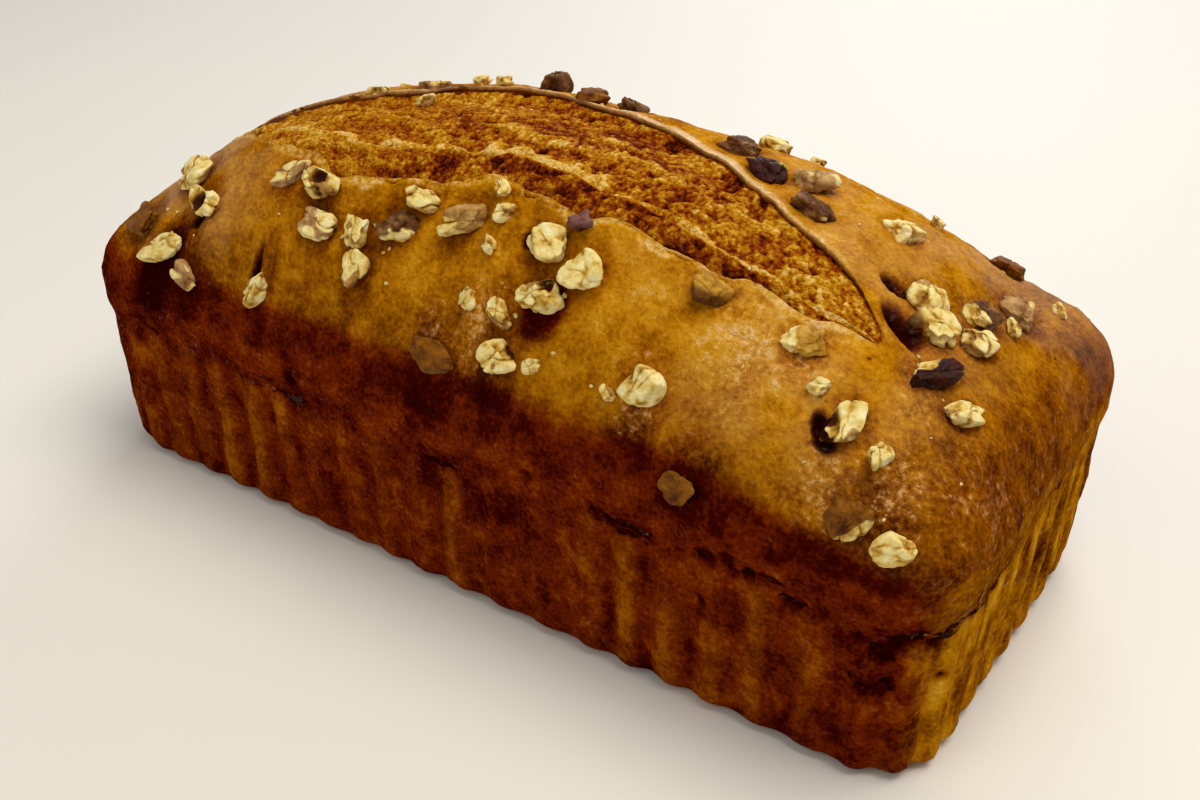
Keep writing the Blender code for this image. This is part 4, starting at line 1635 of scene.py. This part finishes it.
# Purple-brown skin with its natural oil, so it shines softly
PLUM_SKIN = WalnutFinish("walnut_skin_plum", ((0.3, "#3A1418"), (0.7, "#8A5A50")), "#1E0A04", 0.4, 0.3)
# Wrinkled skin toasted brown, lighter where its ridges have rubbed
TOASTED_SKIN = WalnutFinish(
    "walnut_skin_toasted", ((0.3, "#34180A"), (0.5, "#6C4320"), (0.7, "#9C7444")), "#1E0A04"
)


@dataclass(frozen=True)
class Studio:
    """Pale floor, soft lights and the camera."""

    lens: float = 40.33
    sensor: float = 36.0
    azimuth: float = 34.2
    elevation: float = 31.83
    distance: float = 298.3
    aim: tuple[float, float, float] = (0.0, 0.0, 40.0)
    aim_right: float = 5.8
    aim_up: float = -14.4
    floor_side: float = 4000.0
    floor_colour: str = "#EFEBE3"
    sky_colour: str = "#F2F2F0"
    sky_strength: float = 0.27
    lights: tuple[tuple[str, tuple[float, float, float], float, float, str], ...] = (
        ("ceiling", (0.3, 0.1, 1.0), 0.7, 8.3, "#FFFAF0"),
        ("window_behind", (-0.3, 0.95, 0.5), 0.6, 3.6, "#F6F8FF"),
        ("room_fill", (-0.2, -0.9, 0.75), 0.9, 2.8, "#FFFAF2"),
    )  # name, place and side in metres, watts and colour

    def axes(self) -> tuple[Vector, Vector, Vector]:
        """The camera's right, up and back directions.

        Returns:
            The three unit vectors.
        """
        turn, lift = np.radians(self.azimuth), np.radians(self.elevation)
        right = Vector((np.cos(turn), np.sin(turn), 0))
        back = Vector((np.sin(turn) * np.cos(lift), -np.cos(turn) * np.cos(lift), np.sin(lift)))
        return right, back.cross(right), back

    def camera(self, shift: Array) -> Object:
        """Adds the camera at the photograph's viewing angle.

        Args:
            shift: where the form's origin lies in the frame, in millimetres.

        Returns:
            The camera.
        """
        right, up, back = self.axes()
        aim = Vector(self.aim) + Vector(shift)
        place = aim + right * self.aim_right + up * self.aim_up + back * self.distance
        data = bpy.data.cameras.new("camera")
        data.lens, data.sensor_width, data.clip_start = self.lens, self.sensor, 0.01
        made = bpy.data.objects.new("camera", data)
        made.matrix_world = Matrix.LocRotScale(place * MM, Matrix((right, up, back)).transposed(), None)
        bpy.context.scene.collection.objects.link(made)
        bpy.context.scene.camera = made
        return made

    def light(self, name: str, place: tuple[float, ...], size: float, watts: float, colour: str) -> None:
        """Adds a square soft light that faces the loaf.

        Args:
            name: the light's name.
            place: its centre in metres.
            size: its side in metres.
            watts: its power.
            colour: its sRGB colour.
        """
        data = bpy.data.lights.new(name, "AREA")
        data.size, data.energy, data.color = size, watts, linear(colour)[:3]
        made = bpy.data.objects.new(name, data)
        made.location = place
        facing = Vector(self.aim) * MM - Vector(place)
        made.rotation_euler = facing.to_track_quat("-Z", "Y").to_euler()
        bpy.context.scene.collection.objects.link(made)

    def build(self, shift: Array) -> None:
        """Adds floor, sky light, lights and camera.

        Args:
            shift: the form's origin in the frame, in mm.
        """
        self.camera(shift)
        for light in self.lights:
            self.light(*light)
        world = bpy.data.worlds.new("studio")
        world.use_nodes = True
        sky = world.node_tree.nodes["Background"]
        sky.inputs["Color"].default_value = linear(self.sky_colour)
        sky.inputs["Strength"].default_value = self.sky_strength
        bpy.context.scene.world = world
        half = self.floor_side / 2
        corners = np.array([[[-half, -half, 0], [half, -half, 0]], [[-half, half, 0], [half, half, 0]]])
        floor = bpy.data.meshes.new("floor")
        floor.from_pydata((corners.reshape(-1, 3) * MM).tolist(), [], [(0, 1, 3, 2)])
        material, tree, shader = new_material("pale_floor")
        fill(tree, shader, {"Base Color": linear(self.floor_colour), "Roughness": 0.6})
        floor.materials.append(material)
        made = bpy.data.objects.new("floor", floor)
        bpy.context.scene.collection.objects.link(made)
        bpy.context.scene.view_settings.view_transform = "Standard"


def main() -> None:
    """Builds every piece in order, then the studio."""
    logging.basicConfig(level=logging.INFO, format="%(message)s")
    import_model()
    low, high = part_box(LOAF_NODE)
    shift = np.array([(low.x + high.x) / 2, (low.y + high.y) / 2, 0.0]) / MM
    log.info("form's origin in the frame, mm: %s", shift.round(3))
    form = LoafForm()
    Crust(form).surface().piece("crust", CrustFinish().material(), "crust", (LOAF_NODE,), shift)
    TornCrumb(form).surface().piece("torn_crumb", CrumbFinish().material(), "crust", (LOAF_NODE,), shift)
    walnuts = WalnutPieces(form)
    finishes = {kind: finish.material() for kind, finish in WALNUT_FINISHES.items()}
    special = dict.fromkeys(COATED, finishes[NutKind.BROWN])
    special |= dict.fromkeys(TOASTED, TOASTED_SKIN.material())
    special |= dict.fromkeys(BATTERED, BATTER_COAT.material())
    for number, nut in enumerate(NUTS, start=1):
        finish = special.get(number, finishes[nut.kind])
        surface = walnuts.nut(number, nut)
        surface.piece(f"walnut_{number:02d}", finish, nut.kind.slot, (f"nut_{number:02d}",), shift)
    pale = finishes[NutKind.PALE]
    others = [number for number in range(1, len(CHIPS) + 1) if number != DARK_CHIP]
    walnuts.chips(others).piece("walnut_chips", pale, NutKind.PALE.slot, (LOAF_NODE,), shift)
    dark = walnuts.chips([DARK_CHIP])
    dark.marks["skin"] = np.ones_like(dark.marks["skin"])
    dark.piece("walnut_chip_dark", PLUM_SKIN.material(), NutKind.DARK.slot, (LOAF_NODE,), shift)
    walnuts.dust(DUST_COUNT, DUST_SEED).piece("walnut_dust", pale, NutKind.PALE.slot, (LOAF_NODE,), shift)
    Studio().build(shift)


if __name__ == "__main__":
    main()
